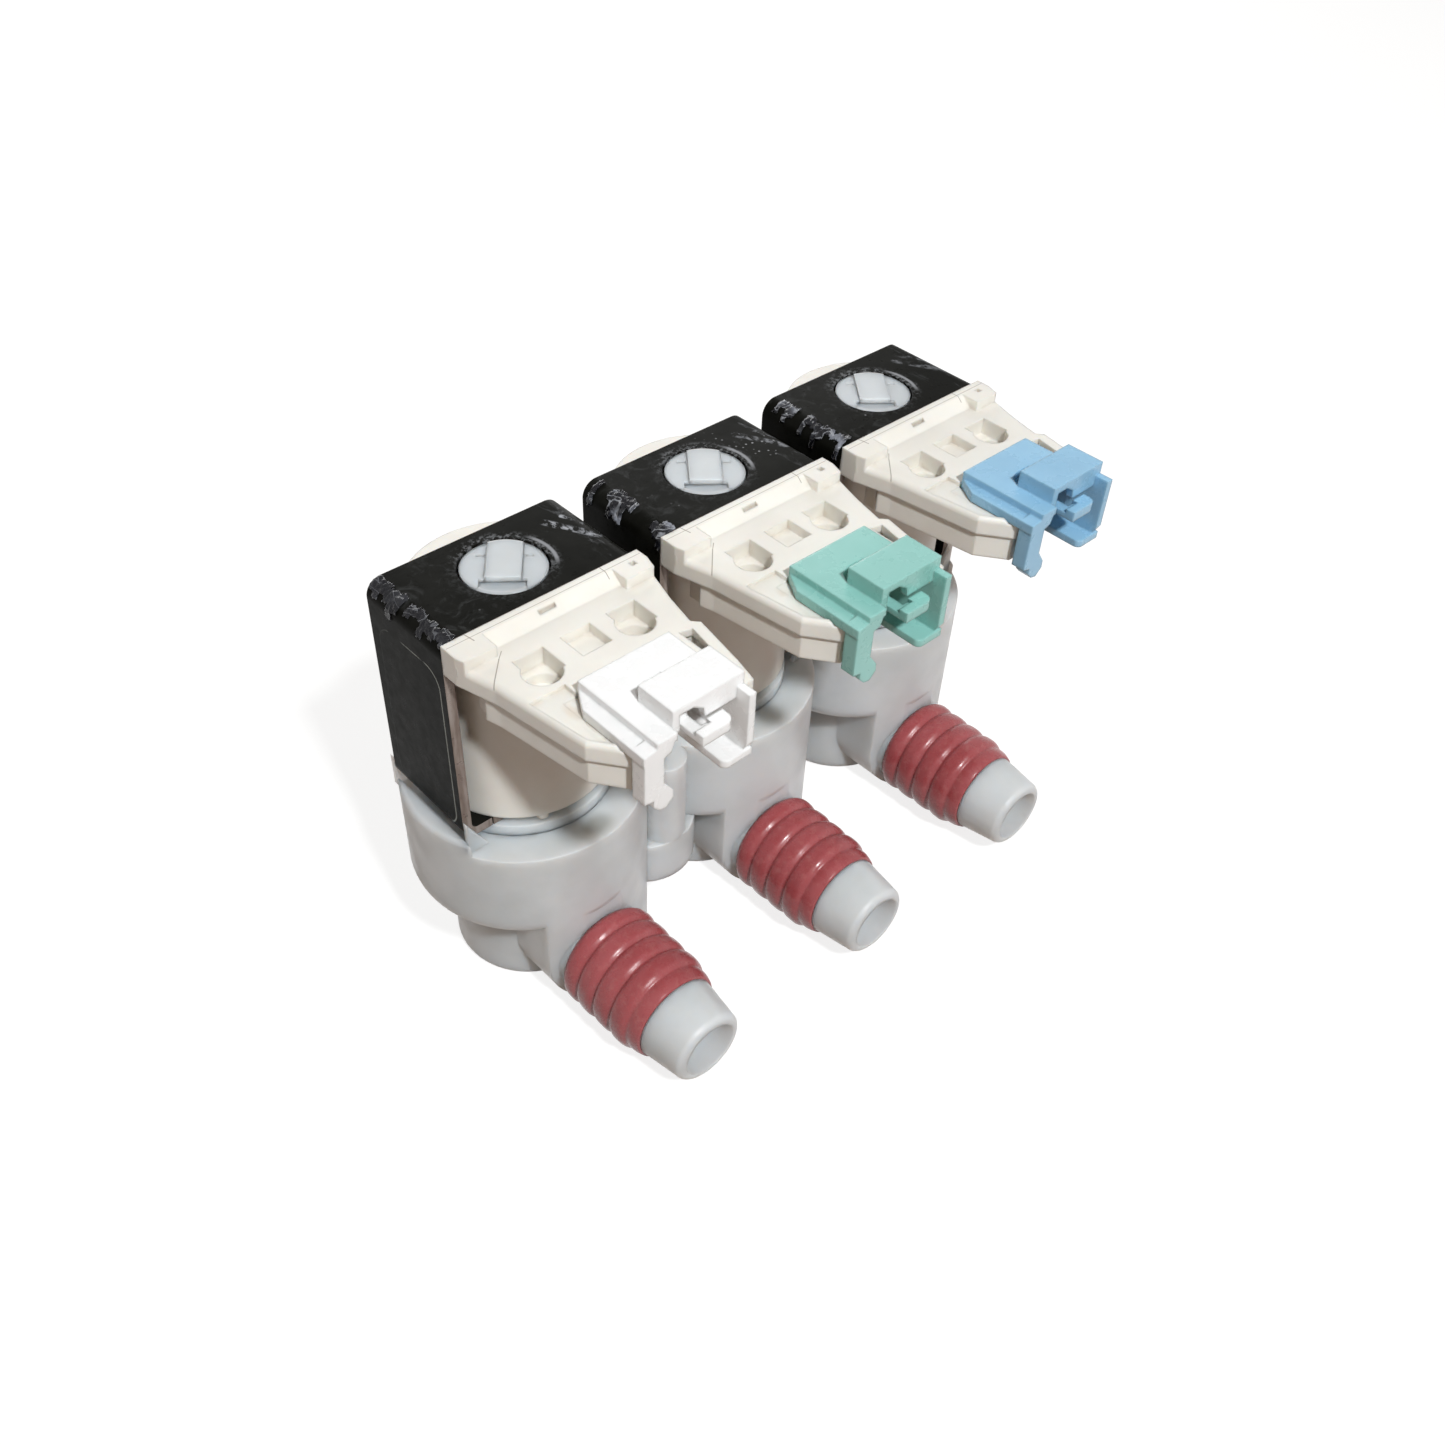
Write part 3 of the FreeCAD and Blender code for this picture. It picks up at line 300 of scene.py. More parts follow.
# Places count from the valve's axis. A pair used by a ramp is where a mark begins and where it is full
BEND_SCUFFS = mm(5.5, 0.8)               # in from the right side
BLOTCH_FROM_SIDE = 4.5 * MM
BLOTCH_RADII = mm(4.6, 5.5)
# Line on the right bend: worn lacquer and a painted highlight of the bend.
WEAR_HIGHLIGHT_FROM_SIDE = 0.55 * MM
WEAR_HIGHLIGHT_WIDTH = mm(0.32, 0.10)
WEAR_HIGHLIGHT_DEPTH = mm(2.0, 1.0)                # below the top face
TOP_BAND = mm(0.9, 0.1)                  # below the top face, for all marks on it
DUST_R = mm(8.6, 6.6)
DUST_SIDE = mm(-4.0, 8.0)
WASHER_R = 7.45 * MM
WASHER_WIDTH = mm(0.42, 0.12)
WASHER_MIDDLE = mm(7.4, -0.5)
WASHER_RADII = mm(4.0, 5.0)
RUBBED_X = mm(6, -12)
STREAKS = ((mm(10.6, 4.6), mm(14.6, -2.4), 0.9 * MM), (mm(13.4, 4.4), mm(15.2, 0.4), 0.45 * MM))
LABEL_MIDDLE = mm(0.0, 54.3)
LABEL_HALF = mm(7.25, 14.9)
LABEL_CORNER = 3.2 * MM
LABEL_LINE = 0.17 * MM
LABEL_FADE = mm(9.0, -6.0)
LABEL_WHOLE = mm(-3.6, -4.6)
SIDE_SKIN = mm(0.2, 0.05)
EDGE_SKIN = mm(0.06, 0.02)
STEEL_DARK = (0.20, 0.155, 0.13)
STEEL_LIGHT = (0.36, 0.31, 0.28)


class YokePaint(Paint):
    """Black lacquer on steel. Each mark is a share from 0 to 1 over the yoke."""

    def __init__(self, k):
        super().__init__(f"yoke_paint_{k}", IOR=1.5, Specular_IOR_Level=0.02)
        self.low, self.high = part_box(f"yoke_{k}")
        self.k = k
        self.x = self.math("SUBTRACT", self.axis("X"), ROW_X[k])
        self.y = self.axis("Y")
        self.z = self.axis("Z")
        self.half = (self.high.x - self.low.x) / 2
        self.on_top = self.below_top(TOP_BAND)
        clouds = self.grain(90, 0.35, 0.75, 5)
        self.base(self.mix(clouds, (0.0045, 0.0046, 0.0034), (0.0105, 0.0106, 0.0088)))

    def shifted(self, scale):
        """Coordinates that differ from yoke to yoke."""
        return self.stretched(scale, (0.31 * self.k, 0.17 * self.k, 0.0))

    def grain(self, scale, low, high, detail=3, rough=0.6):
        return self.ramp(self.noise(scale, detail, rough, self.shifted((1, 1, 1))), low, high)

    def streaky(self, scale, low, high, detail=4, rough=0.6, distortion=0.0):
        return self.ramp(self.noise(1.0, detail, rough, self.shifted(scale), distortion), low, high)

    def below_top(self, band):
        return self.ramp(self.z, self.high.z - band[0], self.high.z - band[1])

    def smears(self):
        return self.product(self.streaky((420, 150, 300), 0.55, 0.72, 6, 0.65, 0.8), self.on_top)

    def bend_scuffs(self):
        """Pale smears that run along the right bend."""
        near = self.ramp(self.x, self.half - BEND_SCUFFS[0], self.half - BEND_SCUFFS[1])
        return self.product(near, self.smears())

    def blotch(self):
        middle = (self.half - BLOTCH_FROM_SIDE, 0.0)
        return self.product(self.spot(self.x, self.y, middle, BLOTCH_RADII), self.smears())

    def wear_and_highlight_line(self):
        """Line along the right bend: worn lacquer and a painted highlight of the bend."""
        line = self.ramp(self.gap(self.x, self.half - WEAR_HIGHLIGHT_FROM_SIDE), *WEAR_HIGHLIGHT_WIDTH)
        broken = self.streaky((200, 320, 200), 0.44, 0.60)
        return self.product(line, broken, self.below_top(WEAR_HIGHLIGHT_DEPTH))

    def dust(self):
        """Dusty ring around the hole, denser behind and on the right."""
        ring = self.ramp(self.length(self.x, self.y), *DUST_R)
        side = self.ramp(self.math("ADD", self.x, self.y), *DUST_SIDE, 0.15, 1.0)
        return self.product(ring, side, self.grain(1500, 0.45, 0.65), self.on_top)

    def washer_print(self):
        """Arc on the right of the hole where a washer's rim has pressed."""
        arc = self.ramp(self.gap(self.length(self.x, self.y), WASHER_R), *WASHER_WIDTH)
        return self.product(arc, self.spot(self.x, self.y, WASHER_MIDDLE, WASHER_RADII), self.on_top)

    def rubbed(self):
        """Round rubbing marks in front of the hole and left of it."""
        marks = self.streaky((320, 320, 320), 0.50, 0.76, distortion=1.4)
        return self.product(marks, self.on_top, self.ramp(self.x, *RUBBED_X))

    def scratches(self):
        """Two bright scratches near the right bend, fainter from yoke to yoke."""
        first, second = (self.stroke(self.x, self.y, *streak) for streak in STREAKS)
        broken = self.streaky((620, 420, 300), 0.46, 0.62, 5, 0.7, 0.6)
        marks = self.product(self.math("MAXIMUM", first, second), self.on_top, broken)
        return self.math("DIVIDE", marks, self.k)

    def specks(self):
        dots = self.ramp(self.cells(900, self.shifted((1, 1, 1))), 0.20, 0.10)
        return self.product(dots, self.grain(110, 0.56, 0.68, 2, 0.5), self.on_top)

    def label_border(self):
        """Border of a clear label on the left leg, broken towards the back."""
        border = self.round_frame(self.y, self.z, LABEL_MIDDLE, LABEL_HALF, LABEL_CORNER, LABEL_LINE)
        broken = self.streaky((1, 260, 40), 0.42, 0.52, 3, 0.5)
        dashes = self.product(broken, self.ramp(self.y, *LABEL_FADE))
        drawn = self.math("MAXIMUM", dashes, self.ramp(self.y, *LABEL_WHOLE))
        on_left = self.ramp(self.x, SIDE_SKIN[0] - self.half, SIDE_SKIN[1] - self.half)
        return self.product(border, drawn, on_left)

    def sheared(self):
        """Front and back edges, sheared through the lacquer."""
        front = self.ramp(self.y, self.low.y + EDGE_SKIN[0], self.low.y + EDGE_SKIN[1])
        back = self.ramp(self.y, self.high.y - EDGE_SKIN[0], self.high.y - EDGE_SKIN[1])
        return self.math("MAXIMUM", front, back)


YOKE_MARKS = (
    (YokePaint.rubbed, 0.5, (0.060, 0.062, 0.062)),
    (YokePaint.bend_scuffs, 0.75, (0.30, 0.31, 0.33)),
    (YokePaint.blotch, 0.30, (0.24, 0.25, 0.26)),
    (YokePaint.wear_and_highlight_line, 0.80, (0.33, 0.33, 0.34)),
    (YokePaint.dust, 0.75, (0.24, 0.25, 0.26)),
    (YokePaint.washer_print, 0.8, (0.34, 0.35, 0.37)),
    (YokePaint.scratches, 0.8, (0.50, 0.52, 0.56)),
    (YokePaint.specks, 0.7, (0.40, 0.41, 0.42)),
)


def yoke_paint(k):
    """Lacquer of one yoke, with its marks, the raw steel of its edges and a label's border on the first."""
    paint = YokePaint(k)
    for mark, strength, tint in YOKE_MARKS:
        paint.layer(mark(paint), strength, tint)
    if k == 1:
        paint.layer(paint.label_border(), 1.0, (0.42, 0.47, 0.45))
    raw = paint.sheared()
    paint.layer(raw, 0.9, paint.mix(paint.streaky((900, 900, 120), 0.3, 0.7), STEEL_DARK, STEEL_LIGHT))
    paint.set("Metallic", paint.product(raw, 0.4))
    paint.set("Roughness", paint.ramp(paint.noise(500, 4, 0.6), 0.3, 0.7, 0.26, 0.40))
    fine = paint.bump(paint.noise(1400, 3, 0.6), 0.02 * MM, 0.3, paint.soft_edges(0.25 * MM))
    paint.set("Normal", paint.bump(paint.noise(130, 3), 0.25 * MM, 0.35, fine))
    return paint.material


# Cream plastic of the coils and connectors

# Start and end from the valve's axis, and half width
COVER_LINES = (
    (mm(-16.2, -9.75), mm(16.2, -9.75), 0.07 * MM),
    (mm(-11.2, -14.0), mm(-14.9, -17.9), 0.11 * MM),
    (mm(-14.9, -17.9), mm(-15.6, -19.8), 0.11 * MM),
    (mm(9.8, -8.8), mm(9.8, -10.9), 0.10 * MM),
    (mm(-12.8, -8.8), mm(-12.5, -10.6), 0.12 * MM),
    (mm(-10.0, -12.9), mm(-11.2, -14.0), 0.08 * MM),
)
COVER_FACE = mm(2.2, 2.6)          # above the cover's underside: where its lines begin and are full
SHROUD_CORNER_SHADE_MIDDLE = mm(-9.9, -27.6)
SHROUD_CORNER_SHADE_RADII = mm(1.3, 2.6)


def cream(name):
    # The brown tint and its share after the edge radius are painted shade in the hollows.
    return moulded(name, (0.825, 0.805, 0.745), (0.775, 0.75, 0.69), 0.38, 0.45, (0.46, 0.37, 0.27), 0.42,
                   Subsurface_Weight=0.25, Subsurface_Scale=1.6 * MM, Subsurface_Radius=(1.0, 0.72, 0.5),
                   IOR=1.5)


def cover_plastic(k):
    """Cream plastic with the fine moulding lines of a connector cover and painted warm shade in the corner
    beside its shroud.
    """
    paint = cream(f"cover_plastic_{k}")
    x = paint.math("SUBTRACT", paint.axis("X"), ROW_X[k])
    y = paint.axis("Y")
    on_top = paint.ramp(paint.axis("Z"), COVER_LOW + COVER_FACE[0], COVER_LOW + COVER_FACE[1])
    for start, end, width in COVER_LINES:
        paint.layer(paint.product(paint.stroke(x, y, start, end, width), on_top), 0.75, (0.22, 0.18, 0.14))
    # Painted warm shade in the corner beside the shroud, broken up by noise.
    corner_shade = paint.product(paint.spot(x, y, SHROUD_CORNER_SHADE_MIDDLE, SHROUD_CORNER_SHADE_RADII, 0.8),
                          paint.ramp(paint.noise(300, 4), 0.35, 0.6))
    paint.layer(corner_shade, 0.35, (0.62, 0.47, 0.33))
    return paint.material


# Other materials

def shroud_plastic(name, light, dark):
    """Smooth glossy plastic of a plug shroud, with painted shade in a darker tone of itself in its corners.
    """
    return moulded(name, light, dark, 0.28, 0.45, tuple(0.45 * c for c in dark), 0.22,
                   Subsurface_Weight=0.22, Subsurface_Scale=1.4 * MM, Subsurface_Radius=(1.0, 0.9, 0.9),
                   IOR=1.5).material


def red_rubber():
    """Brick-rose silicone of the sleeves, with a slight bloom."""
    paint = Paint("red_rubber", IOR=1.45, Specular_IOR_Level=0.40, Subsurface_Weight=0.15,
                  Subsurface_Scale=1.0 * MM, Subsurface_Radius=(1.0, 0.35, 0.25))
    clouds = paint.ramp(paint.noise(110, 4), 0.35, 0.65)
    paint.base(paint.mix(clouds, (0.32, 0.062, 0.067), (0.36, 0.080, 0.086)))
    paint.layer(paint.ramp(paint.noise(900, 5, 0.6), 0.50, 0.74), 0.15, (0.58, 0.31, 0.27))
    # Painted shade in the valleys between the rings.
    paint.layer(paint.recess(1.2 * MM), 0.5, (0.13, 0.024, 0.022))
    paint.set("Roughness", paint.ramp(paint.noise(600, 4, 0.6), 0.3, 0.7, 0.20, 0.36))
    fine = paint.bump(paint.noise(1900, 4, 0.6), 0.03 * MM, 0.4, paint.soft_edges(0.2 * MM))
    paint.set("Normal", paint.bump(paint.noise(240, 3), 0.15 * MM, 0.35, fine))
    return paint.material


def black_rubber():
    paint = Paint("black_rubber", IOR=1.5, Specular_IOR_Level=0.3)
    clouds = paint.ramp(paint.noise(400, 5), 0.35, 0.65)
    paint.base(paint.mix(clouds, (0.014, 0.014, 0.015), (0.030, 0.029, 0.028)))
    paint.set("Roughness", paint.ramp(paint.noise(700, 4), 0.3, 0.7, 0.55, 0.75))
    paint.set("Normal", paint.bump(paint.noise(2200, 4), 0.04 * MM, 0.5, paint.soft_edges(0.15 * MM)))
    return paint.material


def metal(name, light, dark, rough, grain=(1, 1, 1)):
    """Metal with fine working marks along one direction."""
    paint = Paint(name, Metallic=1.0)
    marks = paint.noise(1.0, 5, 0.6, paint.stretched(tuple(600.0 * g for g in grain)))
    paint.base(paint.mix(paint.ramp(marks, 0.3, 0.7), dark, light))
    paint.set("Roughness", paint.ramp(marks, 0.3, 0.7, rough - 0.05, rough + 0.10))
    paint.set("Normal", paint.bump(marks, 0.02 * MM, 0.35, paint.soft_edges(0.12 * MM)))
    return paint.material


WIRE_TURN = 0.35 * MM


def copper_wire():
    """Enamelled wire, wound turn beside turn."""
    paint = Paint("copper_wire", Metallic=0.85)
    phase = paint.product(paint.axis("Z"), math.tau / WIRE_TURN, 0.5)
    wound = paint.math("ABSOLUTE", paint.math("SINE", phase))
    clouds = paint.ramp(paint.noise(200, 4), 0.35, 0.65)
    paint.base(paint.mix(clouds, (0.42, 0.13, 0.05), (0.62, 0.24, 0.10)))
    # Painted shade in the grooves between the turns.
    paint.layer(paint.ramp(wound, 0.0, 0.35, 1.0, 0.0), 0.6, (0.08, 0.02, 0.01))
    paint.set("Roughness", paint.ramp(paint.noise(600, 3), 0.3, 0.7, 0.25, 0.4))
    paint.set("Normal", paint.bump(wound, WIRE_TURN / 2, 0.8))
    return paint.material


MATERIALS = {
    "clear_nylon": nylon("clear_nylon").material,
    "body_nylon": body_nylon(),
    "cream_plastic": cream("cream_plastic").material,
    "bobbin_plastic": moulded("bobbin_plastic", (0.055, 0.055, 0.058), (0.035, 0.035, 0.038),
                              0.42).material,
    "copper_wire": copper_wire(),
    "plain_steel": metal("plain_steel", (0.62, 0.61, 0.60), (0.44, 0.43, 0.42), 0.30, (1, 1, 4)),
    "spring_steel": metal("spring_steel", (0.58, 0.58, 0.60), (0.36, 0.36, 0.38), 0.26),
    "tinned_brass": metal("tinned_brass", (0.80, 0.79, 0.76), (0.62, 0.60, 0.55), 0.28, (1, 5, 1)),
    "black_rubber": black_rubber(),
    "insert_plastic": moulded("insert_plastic", (0.62, 0.60, 0.55), (0.52, 0.50, 0.46), 0.38).material,
    "filter_plastic": moulded("filter_plastic", (0.66, 0.69, 0.70), (0.56, 0.60, 0.62), 0.36, 0.25,
                              Subsurface_Weight=0.3, Subsurface_Scale=1.5 * MM).material,
    "red_rubber": red_rubber(),
    "white_plastic": shroud_plastic("white_plastic", (0.90, 0.905, 0.90), (0.885, 0.89, 0.885)),
    "green_plastic": shroud_plastic("green_plastic", (0.30, 0.600, 0.552), (0.265, 0.55, 0.50)),
    "blue_plastic": shroud_plastic("blue_plastic", (0.295, 0.540, 0.735), (0.255, 0.485, 0.675)),
}

NODE_FINISH = {
    "valve_body": "body_nylon", "core_tube": "clear_nylon", "coil_shell": "cream_plastic",
    "connector_tray": "cream_plastic", "coil_bobbin": "bobbin_plastic", "coil_winding": "copper_wire",
    "pole_bushing": "plain_steel", "plunger": "plain_steel", "plunger_seal": "black_rubber",
    "plunger_spring": "spring_steel", "diaphragm": "black_rubber", "diaphragm_insert": "insert_plastic",
    "terminals": "tinned_brass", "outlet_sleeve": "red_rubber", "inlet_filter": "filter_plastic",
    "flow_regulator": "black_rubber",
}
SHROUD_FINISH = {1: "white_plastic", 2: "green_plastic", 3: "blue_plastic"}


def finish_of(node):
    """Material of a solid, by its name."""
    base, _, number = node.rpartition("_")
    if base == "yoke":
        return yoke_paint(int(number))
    if base == "connector_cover":
        return cover_plastic(int(number))
    if base == "plug_shroud":
        return MATERIALS[SHROUD_FINISH[int(number)]]
    return MATERIALS[NODE_FINISH[base if base in NODE_FINISH else node]]


def dress_solids():
    for node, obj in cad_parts.items():
        material = finish_of(node)
        obj.data.materials.clear()
        obj.data.materials.append(material)


def placed_object(name, bm, material, smooth):
    """Object in the scene from a mesh under construction."""
    bmesh.ops.recalc_face_normals(bm, faces=bm.faces)
    mesh = bpy.data.meshes.new(name)
    bm.to_mesh(mesh)
    bm.free()
    mesh.materials.append(material)
    for polygon in mesh.polygons:
        polygon.use_smooth = smooth
    obj = bpy.data.objects.new(name, mesh)
    bpy.context.scene.collection.objects.link(obj)
    return obj


# Sleeves

SLEEVE_INNER = 6.3 * MM
SLEEVE_REAR = 8.1 * MM
SLEEVE_FRONT = 7.65 * MM
SLEEVE_BULGE = 0.22 * MM           # of the smooth part in front of the rings
SLEEVE_WOBBLE = 0.05 * MM
SLEEVE_STEPS = 84
SLEEVE_SIDES = 120
RING_COUNT = 4
RING_PITCH = 3.83 * MM
RING_FIRST = 1.5 * MM              # from the sleeve's rear end to the first crest
RING_CREST = 9.0 * MM
RING_TAPER = 0.08 * MM
RING_DEPTH = 0.66 * MM
RING_FLATNESS = 3.2                # above 2 the crests are flat and the valleys narrow


def sleeve_radius(s, length):
    """Outer radius at a distance from the sleeve's rear end."""
    last_valley = RING_FIRST + (RING_COUNT - 0.5) * RING_PITCH
    if s > last_valley:
        share = (s - last_valley) / (length - last_valley)
        start = RING_CREST - RING_TAPER * RING_COUNT - RING_DEPTH
        return start + (SLEEVE_FRONT - start) * share + SLEEVE_BULGE * math.sin(math.pi * share)
    if s < RING_FIRST:
        return RING_CREST - (RING_CREST - SLEEVE_REAR) * (1 - s / RING_FIRST) ** 2
    ring = min(round((s - RING_FIRST) / RING_PITCH), RING_COUNT - 1)
    off = abs(s - RING_FIRST - ring * RING_PITCH) / (RING_PITCH / 2)
    return RING_CREST - RING_TAPER * ring - RING_DEPTH * off ** RING_FLATNESS


def sleeve_row(bm, radius, y, axis_x, axis_z, k):
    """Ring of points around the outlet's axis, slightly uneven on the outside."""
    row = []
    for j in range(SLEEVE_SIDES):
        angle = math.tau * j / SLEEVE_SIDES
        spot = Vector((5 * math.cos(angle), 5 * math.sin(angle), y * 400 + 7 * k))
        r = radius + (SLEEVE_WOBBLE * noise.noise(spot) if radius > SLEEVE_INNER else 0.0)
        row.append(bm.verts.new((axis_x + r * math.cos(angle), y, axis_z + r * math.sin(angle))))
    return row


def sleeve(k):
    """Ribbed rubber sleeve, turned around the outlet's axis."""
    low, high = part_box(f"outlet_sleeve_{k}")
    length = high.y - low.y
    steps = [length * i / SLEEVE_STEPS for i in range(SLEEVE_STEPS + 1)]
    line = [(sleeve_radius(s, length), high.y - s) for s in steps]
    line += [(SLEEVE_INNER, low.y), (SLEEVE_INNER, high.y)]
    bm = bmesh.new()
    rows = [sleeve_row(bm, radius, y, (low.x + high.x) / 2, (low.z + high.z) / 2, k) for radius, y in line]
    for a, b in zip(rows, rows[1:] + rows[:1]):
        for j in range(SLEEVE_SIDES):
            after = (j + 1) % SLEEVE_SIDES
            bm.faces.new((a[j], a[after], b[after], b[j]))
    obj = placed_object(f"sleeve_{k}", bm, MATERIALS["red_rubber"], True)
    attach(obj, "valve")
    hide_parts(f"outlet_sleeve_{k}")


# Moulded top of each core tube: a raised bar, two fields beside it and a step in front of it

TUBE_TURN = math.radians(-39.0)
TUBE_FLOOR = TUBE_TOP - 1.29 * MM
FIELD_R = 6.15 * MM
FIELD_RISE = 0.02 * MM
FIELD_GAP = 0.06 * MM
FIELD_STEPS = 28
BAR_R = 5.9 * MM
BAR_HALF = 2.5 * MM
BAR_RISE = 0.38 * MM
BAR_FRONT = -2.75 * MM
STEP_R = 5.55 * MM
STEP_HALF = 3.25 * MM
STEP_DROP = 0.50 * MM
END_STEPS = 16
SLIT_Y = mm(2.3, 2.85)
SLIT_LENGTH = 1.5 * MM


def arc_points(radius, start, end, steps):
    """Points around the tube's axis, with angles from +Y towards +X."""
    angles = [start + (end - start) * i / steps for i in range(steps + 1)]
    return [(radius * math.sin(a), radius * math.cos(a)) for a in angles]


def field_outline(side):
    """Segment beside the bar, with a narrow slit that opens to the bar."""
    near = BAR_HALF + FIELD_GAP
    wide = STEP_HALF + FIELD_GAP
    far = near + SLIT_LENGTH
    arc = arc_points(FIELD_R, math.asin(near / FIELD_R), math.pi - math.asin(wide / FIELD_R), FIELD_STEPS)
    slit = [(near, SLIT_Y[0]), (far, SLIT_Y[0]), (far, SLIT_Y[1]), (near, SLIT_Y[1])]
    return [(side * x, y) for x, y in arc + [(wide, BAR_FRONT), (near, BAR_FRONT)] + slit]


def end_outline(half, radius, side):
    """Strip across the tube, from the bar's front end to the rim in front (side -1) or behind (side 1)."""
    reach = math.asin(half / radius)
    arc = [(x, side * y) for x, y in arc_points(radius, reach, -reach, END_STEPS)]
    return arc + [(-half, BAR_FRONT), (half, BAR_FRONT)]


def tube_piece(name, k, outline, top):
    """Upright block on the sunk floor of a core tube's top."""
    bm = bmesh.new()
    face = bm.faces.new([bm.verts.new((x, y, TUBE_FLOOR)) for x, y in outline])
    for part in bmesh.ops.extrude_face_region(bm, geom=[face])["geom"]:
        if isinstance(part, bmesh.types.BMVert):
            part.co.z = top
    bmesh.ops.rotate(bm, verts=bm.verts, cent=ORIGIN, matrix=Matrix.Rotation(TUBE_TURN, 3, "Z"))
    bmesh.ops.translate(bm, verts=bm.verts, vec=(ROW_X[k], 0, 0))
    obj = placed_object(name, bm, MATERIALS["clear_nylon"], False)
    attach(obj, "valve")


def tube_top(k):
    tube_piece(f"tube_field_left_{k}", k, field_outline(-1), TUBE_TOP + FIELD_RISE)
    tube_piece(f"tube_field_right_{k}", k, field_outline(1), TUBE_TOP + FIELD_RISE)
    tube_piece(f"tube_bar_{k}", k, end_outline(BAR_HALF, BAR_R, 1), TUBE_TOP + BAR_RISE)
    tube_piece(f"tube_step_{k}", k, end_outline(STEP_HALF, STEP_R, -1), TUBE_TOP - STEP_DROP)


# Remains of clear film on the left bend of each yoke

BEND_R = 2.6 * MM
FILM_T = 0.07 * MM
FILM_LIFT = 0.06 * MM
FILM_STEP = 0.16 * MM
FILM_FRAY = 0.30 * MM
FILM_FLAPS = 15                    # torn steps along the strip
# First and last place along Y, reach over the top and down the side, height of the creases, share of pale
# haze with painted reflection
FILMS = {
    1: (*mm(9.0, -8.6, 0.6, 0.5, 0.35), 0.12),
    2: (*mm(7.9, -8.7, 1.3, 0.7, 0.55), 1.0),
    3: (*mm(7.2, -7.9, 1.2, 0.6, 0.50), 0.85),
}


def film_paint(k, haze_and_reflection):
    """Crumpled clear film: dark where it lies flat on the paint, pale in clouds of haze and painted
    reflection, with painted glints along its creases.
    """
    paint = Paint(f"film_{k}", IOR=1.5, Specular_IOR_Level=0.3, Alpha=0.8)
    wave = paint.noise(1.0, 2, 0.5, paint.stretched((330, 200, 330), (k, 0, 0)), 0.6)
    cloud = paint.noise(1.0, 2, 0.5, paint.stretched((210, 150, 210), (0, k, 0)), 0.4)
    # Pale clouds: the film's haze and a painted reflection.
    paint.base(paint.mix(paint.product(paint.ramp(cloud, 0.47, 0.66), haze_and_reflection),
                         (0.006, 0.006, 0.009), (0.30, 0.32, 0.37)))
    # Painted glints along thin crease lines.
    paint.layer(paint.ramp(paint.gap(wave, 0.5), 0.022, 0.0), 0.2 + 0.5 * haze_and_reflection, (0.46, 0.48, 0.52))
    paint.set("Roughness", paint.ramp(paint.noise(900, 3), 0.3, 0.7, 0.08, 0.24))
    paint.set("Normal", paint.bump(paint.noise(420, 3, 0.6), 0.35 * MM, 0.9))
    return paint.material


class Film:
    """Torn strip around a bend. A place on it is u along the bend, 0 to 1, and s across it, in metres."""

    def __init__(self, k):
        self.k = k
        self.y0, self.y1, self.over_top, self.down_side, self.rise, self.haze_and_reflection = FILMS[k]
        self.arc = BEND_R * math.pi / 2
        self.width = self.over_top + self.arc + self.down_side
        self.rows = int((self.y0 - self.y1) / FILM_STEP)
        self.columns = int(self.width / FILM_STEP)
        self.low, self.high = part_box(f"yoke_{k}")

    def draw(self, x, y, z):
        """Smooth random number at a place, different for each yoke."""
        return noise.noise(Vector((x, y * self.k, z)))

    def place(self, u, s):
        """Point on the yoke and its outward direction."""
        y = self.y0 + (self.y1 - self.y0) * u
        bend_x, bend_z = self.low.x + BEND_R, self.high.z - BEND_R
        if s < self.over_top:
            return Vector((bend_x + self.over_top - s, y, self.high.z)), Vector((0, 0, 1))
        if s > self.over_top + self.arc:
            return Vector((self.low.x, y, bend_z - (s - self.over_top - self.arc))), Vector((-1, 0, 0))
        angle = (s - self.over_top) / BEND_R
        outward = Vector((-math.sin(angle), 0, math.cos(angle)))
        return Vector((bend_x, y, bend_z)) + outward * BEND_R, outward

    def kept(self, u, s):
        """Whether the film is left here: its outline goes in steps, as torn film does."""
        flap = math.floor(u * FILM_FLAPS) / FILM_FLAPS
        top_edge = self.width * (0.10 + 0.34 * abs(self.draw(flap * 7.0, 3.1, 0.0)))
        low_edge = self.width * (0.64 + 0.60 * self.draw(flap * 9.0, 5.7, 2.0))
        fray = FILM_FRAY * self.draw(u * 60, 1.3, 5.0)
        missing = self.draw(flap * 5.0, 8.3, 9.0) > 0.42
        return top_edge + fray < s < max(low_edge, 0.42 * self.width) + fray and not missing

    def vertex(self, bm, i, j):
        """Point of the film's grid, lifted by its creases."""
        u, s = i / self.rows, self.width * j / self.columns
        point, outward = self.place(u, s)
        spot = Vector((u * 17, s * 900, 4.0 * self.k))
        crease = abs(noise.noise(spot)) + 0.5 * abs(noise.noise(spot * 2.3))
        return bm.verts.new(point + outward * (FILM_LIFT + self.rise * crease))

    def build(self):
        bm = bmesh.new()
        places = [(i, j) for i in range(self.rows + 1) for j in range(self.columns + 1)]
        grid = {(i, j): self.vertex(bm, i, j) for i, j in places}
        for i in range(self.rows):
            for j in range(self.columns):
                if self.kept((i + 0.5) / self.rows, self.width * (j + 0.5) / self.columns):
                    bm.faces.new((grid[i, j], grid[i + 1, j], grid[i + 1, j + 1], grid[i, j + 1]))
        bmesh.ops.delete(bm, geom=[v for v in bm.verts if not v.link_faces], context="VERTS")
        bmesh.ops.recalc_face_normals(bm, faces=bm.faces)
        bmesh.ops.solidify(bm, geom=bm.faces[:], thickness=FILM_T)
        obj = placed_object(f"film_{self.k}", bm, film_paint(self.k, self.haze_and_reflection), True)
        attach(obj, "valve")


# Stage, light and camera

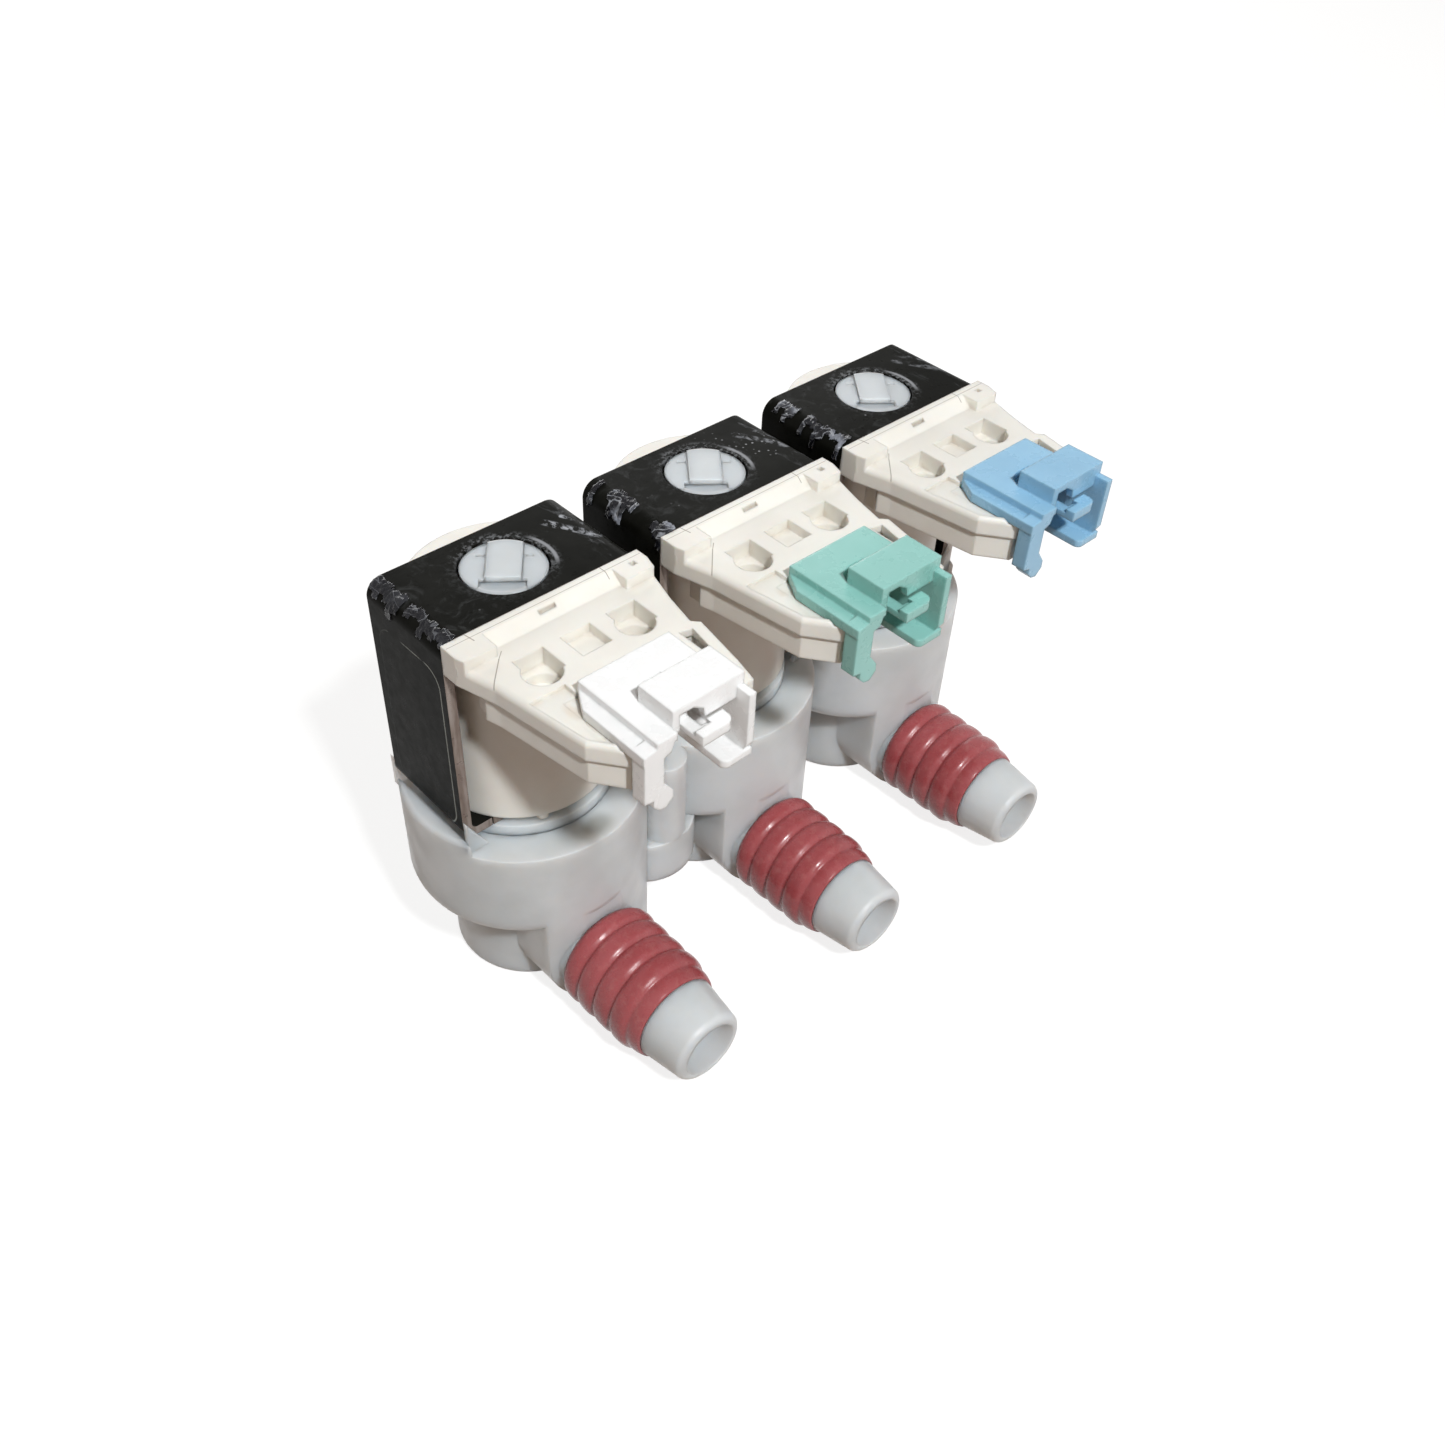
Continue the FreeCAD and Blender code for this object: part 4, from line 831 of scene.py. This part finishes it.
def white_to_the_eye(tree, other):
    """Shader that is plain white to the camera and in reflections, and something else to all other rays."""
    path = tree.nodes.new("ShaderNodeLightPath")
    share = path.outputs["Is Camera Ray"]
    for ray in ("Is Glossy Ray", "Is Transmission Ray"):
        either = tree.nodes.new("ShaderNodeMath")
        either.operation = "MAXIMUM"
        tree.links.new(share, either.inputs[0])
        tree.links.new(path.outputs[ray], either.inputs[1])
        share = either.outputs[0]
    mixer = tree.nodes.new("ShaderNodeMixShader")
    tree.links.new(share, mixer.inputs["Fac"])
    tree.links.new(other, mixer.inputs[1])
    return mixer


def world_light():
    world = bpy.data.worlds.new("studio")
    bpy.context.scene.world = world
    world.use_nodes = True
    tree = world.node_tree
    tree.nodes.clear()
    ambient = tree.nodes.new("ShaderNodeBackground")
    ambient.inputs["Color"].default_value = AMBIENT_COLOUR
    ambient.inputs["Strength"].default_value = AMBIENT_LEVEL
    white = tree.nodes.new("ShaderNodeBackground")
    white.inputs["Color"].default_value = (1, 1, 1, 1)
    mixer = white_to_the_eye(tree, ambient.outputs[0])
    tree.links.new(white.outputs[0], mixer.inputs[2])
    output = tree.nodes.new("ShaderNodeOutputWorld")
    tree.links.new(mixer.outputs[0], output.inputs["Surface"])


def floor_paint():
    """Nearly white to the eye, with the object's shadow on it."""
    paint = Paint("floor_white", Roughness=0.9, Specular_IOR_Level=0.0)
    paint.base(paint.mix(paint.noise(6, 3), *FLOOR_TINTS))
    glow = paint.tree.nodes.new("ShaderNodeEmission")
    glow.inputs["Strength"].default_value = FLOOR_GLOW
    seen = paint.tree.nodes.new("ShaderNodeAddShader")
    paint.link(paint.shader.outputs["BSDF"], seen.inputs[0])
    paint.link(glow.outputs[0], seen.inputs[1])
    bounce = paint.tree.nodes.new("ShaderNodeBsdfDiffuse")
    bounce.inputs["Color"].default_value = FLOOR_BOUNCE
    mixer = white_to_the_eye(paint.tree, bounce.outputs["BSDF"])
    paint.link(seen.outputs[0], mixer.inputs[2])
    paint.link(mixer.outputs[0], paint.output.inputs["Surface"])
    return paint.material


def floor():
    """Large pale floor."""
    square = ((-1, -1), (1, -1), (1, 1), (-1, 1))
    corners = [(x * FLOOR_HALF, y * FLOOR_HALF, -FLOOR_DROP) for x, y in square]
    mesh = bpy.data.meshes.new("floor")
    mesh.from_pydata(corners, [], [(0, 1, 2, 3)])
    mesh.materials.append(floor_paint())
    obj = bpy.data.objects.new("floor", mesh)
    bpy.context.scene.collection.objects.link(obj)


def lamp(name, direction, distance, size, level, colour):
    """Square area lamp. Level is what a white face turned to it would show."""
    data = bpy.data.lights.new(name, "AREA")
    data.size = size
    data.energy = level * math.pi ** 2 * distance ** 2
    data.color = colour
    obj = bpy.data.objects.new(name, data)
    bpy.context.scene.collection.objects.link(obj)
    toward = Vector(direction).normalized()
    obj.location = LAMP_AIM + toward * distance
    obj.rotation_euler = toward.to_track_quat("Z", "Y").to_euler()


def camera():
    """Camera of the photograph, turned by its azimuth, elevation and roll."""
    a, e, r = CAMERA_AZIMUTH, CAMERA_ELEVATION, CAMERA_ROLL
    right = Vector((math.cos(a), math.sin(a), 0))
    back = Vector((math.sin(a) * math.cos(e), -math.cos(a) * math.cos(e), math.sin(e)))
    up = back.cross(right)
    right_rolled = right * math.cos(r) + up * math.sin(r)
    up_rolled = up * math.cos(r) - right * math.sin(r)
    data = bpy.data.cameras.new("camera")
    data.sensor_fit = "HORIZONTAL"
    data.sensor_width = SENSOR
    data.lens = SENSOR * CAMERA_FOCUS / PHOTO_SIZE
    data.clip_start, data.clip_end = CLIP
    obj = bpy.data.objects.new("camera", data)
    bpy.context.scene.collection.objects.link(obj)
    turn = Matrix((right_rolled, up_rolled, back)).transposed().to_4x4()
    obj.matrix_world = Matrix.Translation(CAMERA_EYE) @ turn
    bpy.context.scene.camera = obj


dress_solids()
for k in VALVES:
    sleeve(k)
    tube_top(k)
    Film(k).build()
world_light()
floor()
for settings in LAMPS:
    lamp(*settings)
camera()

bpy.context.scene.view_settings.view_transform = "Standard"
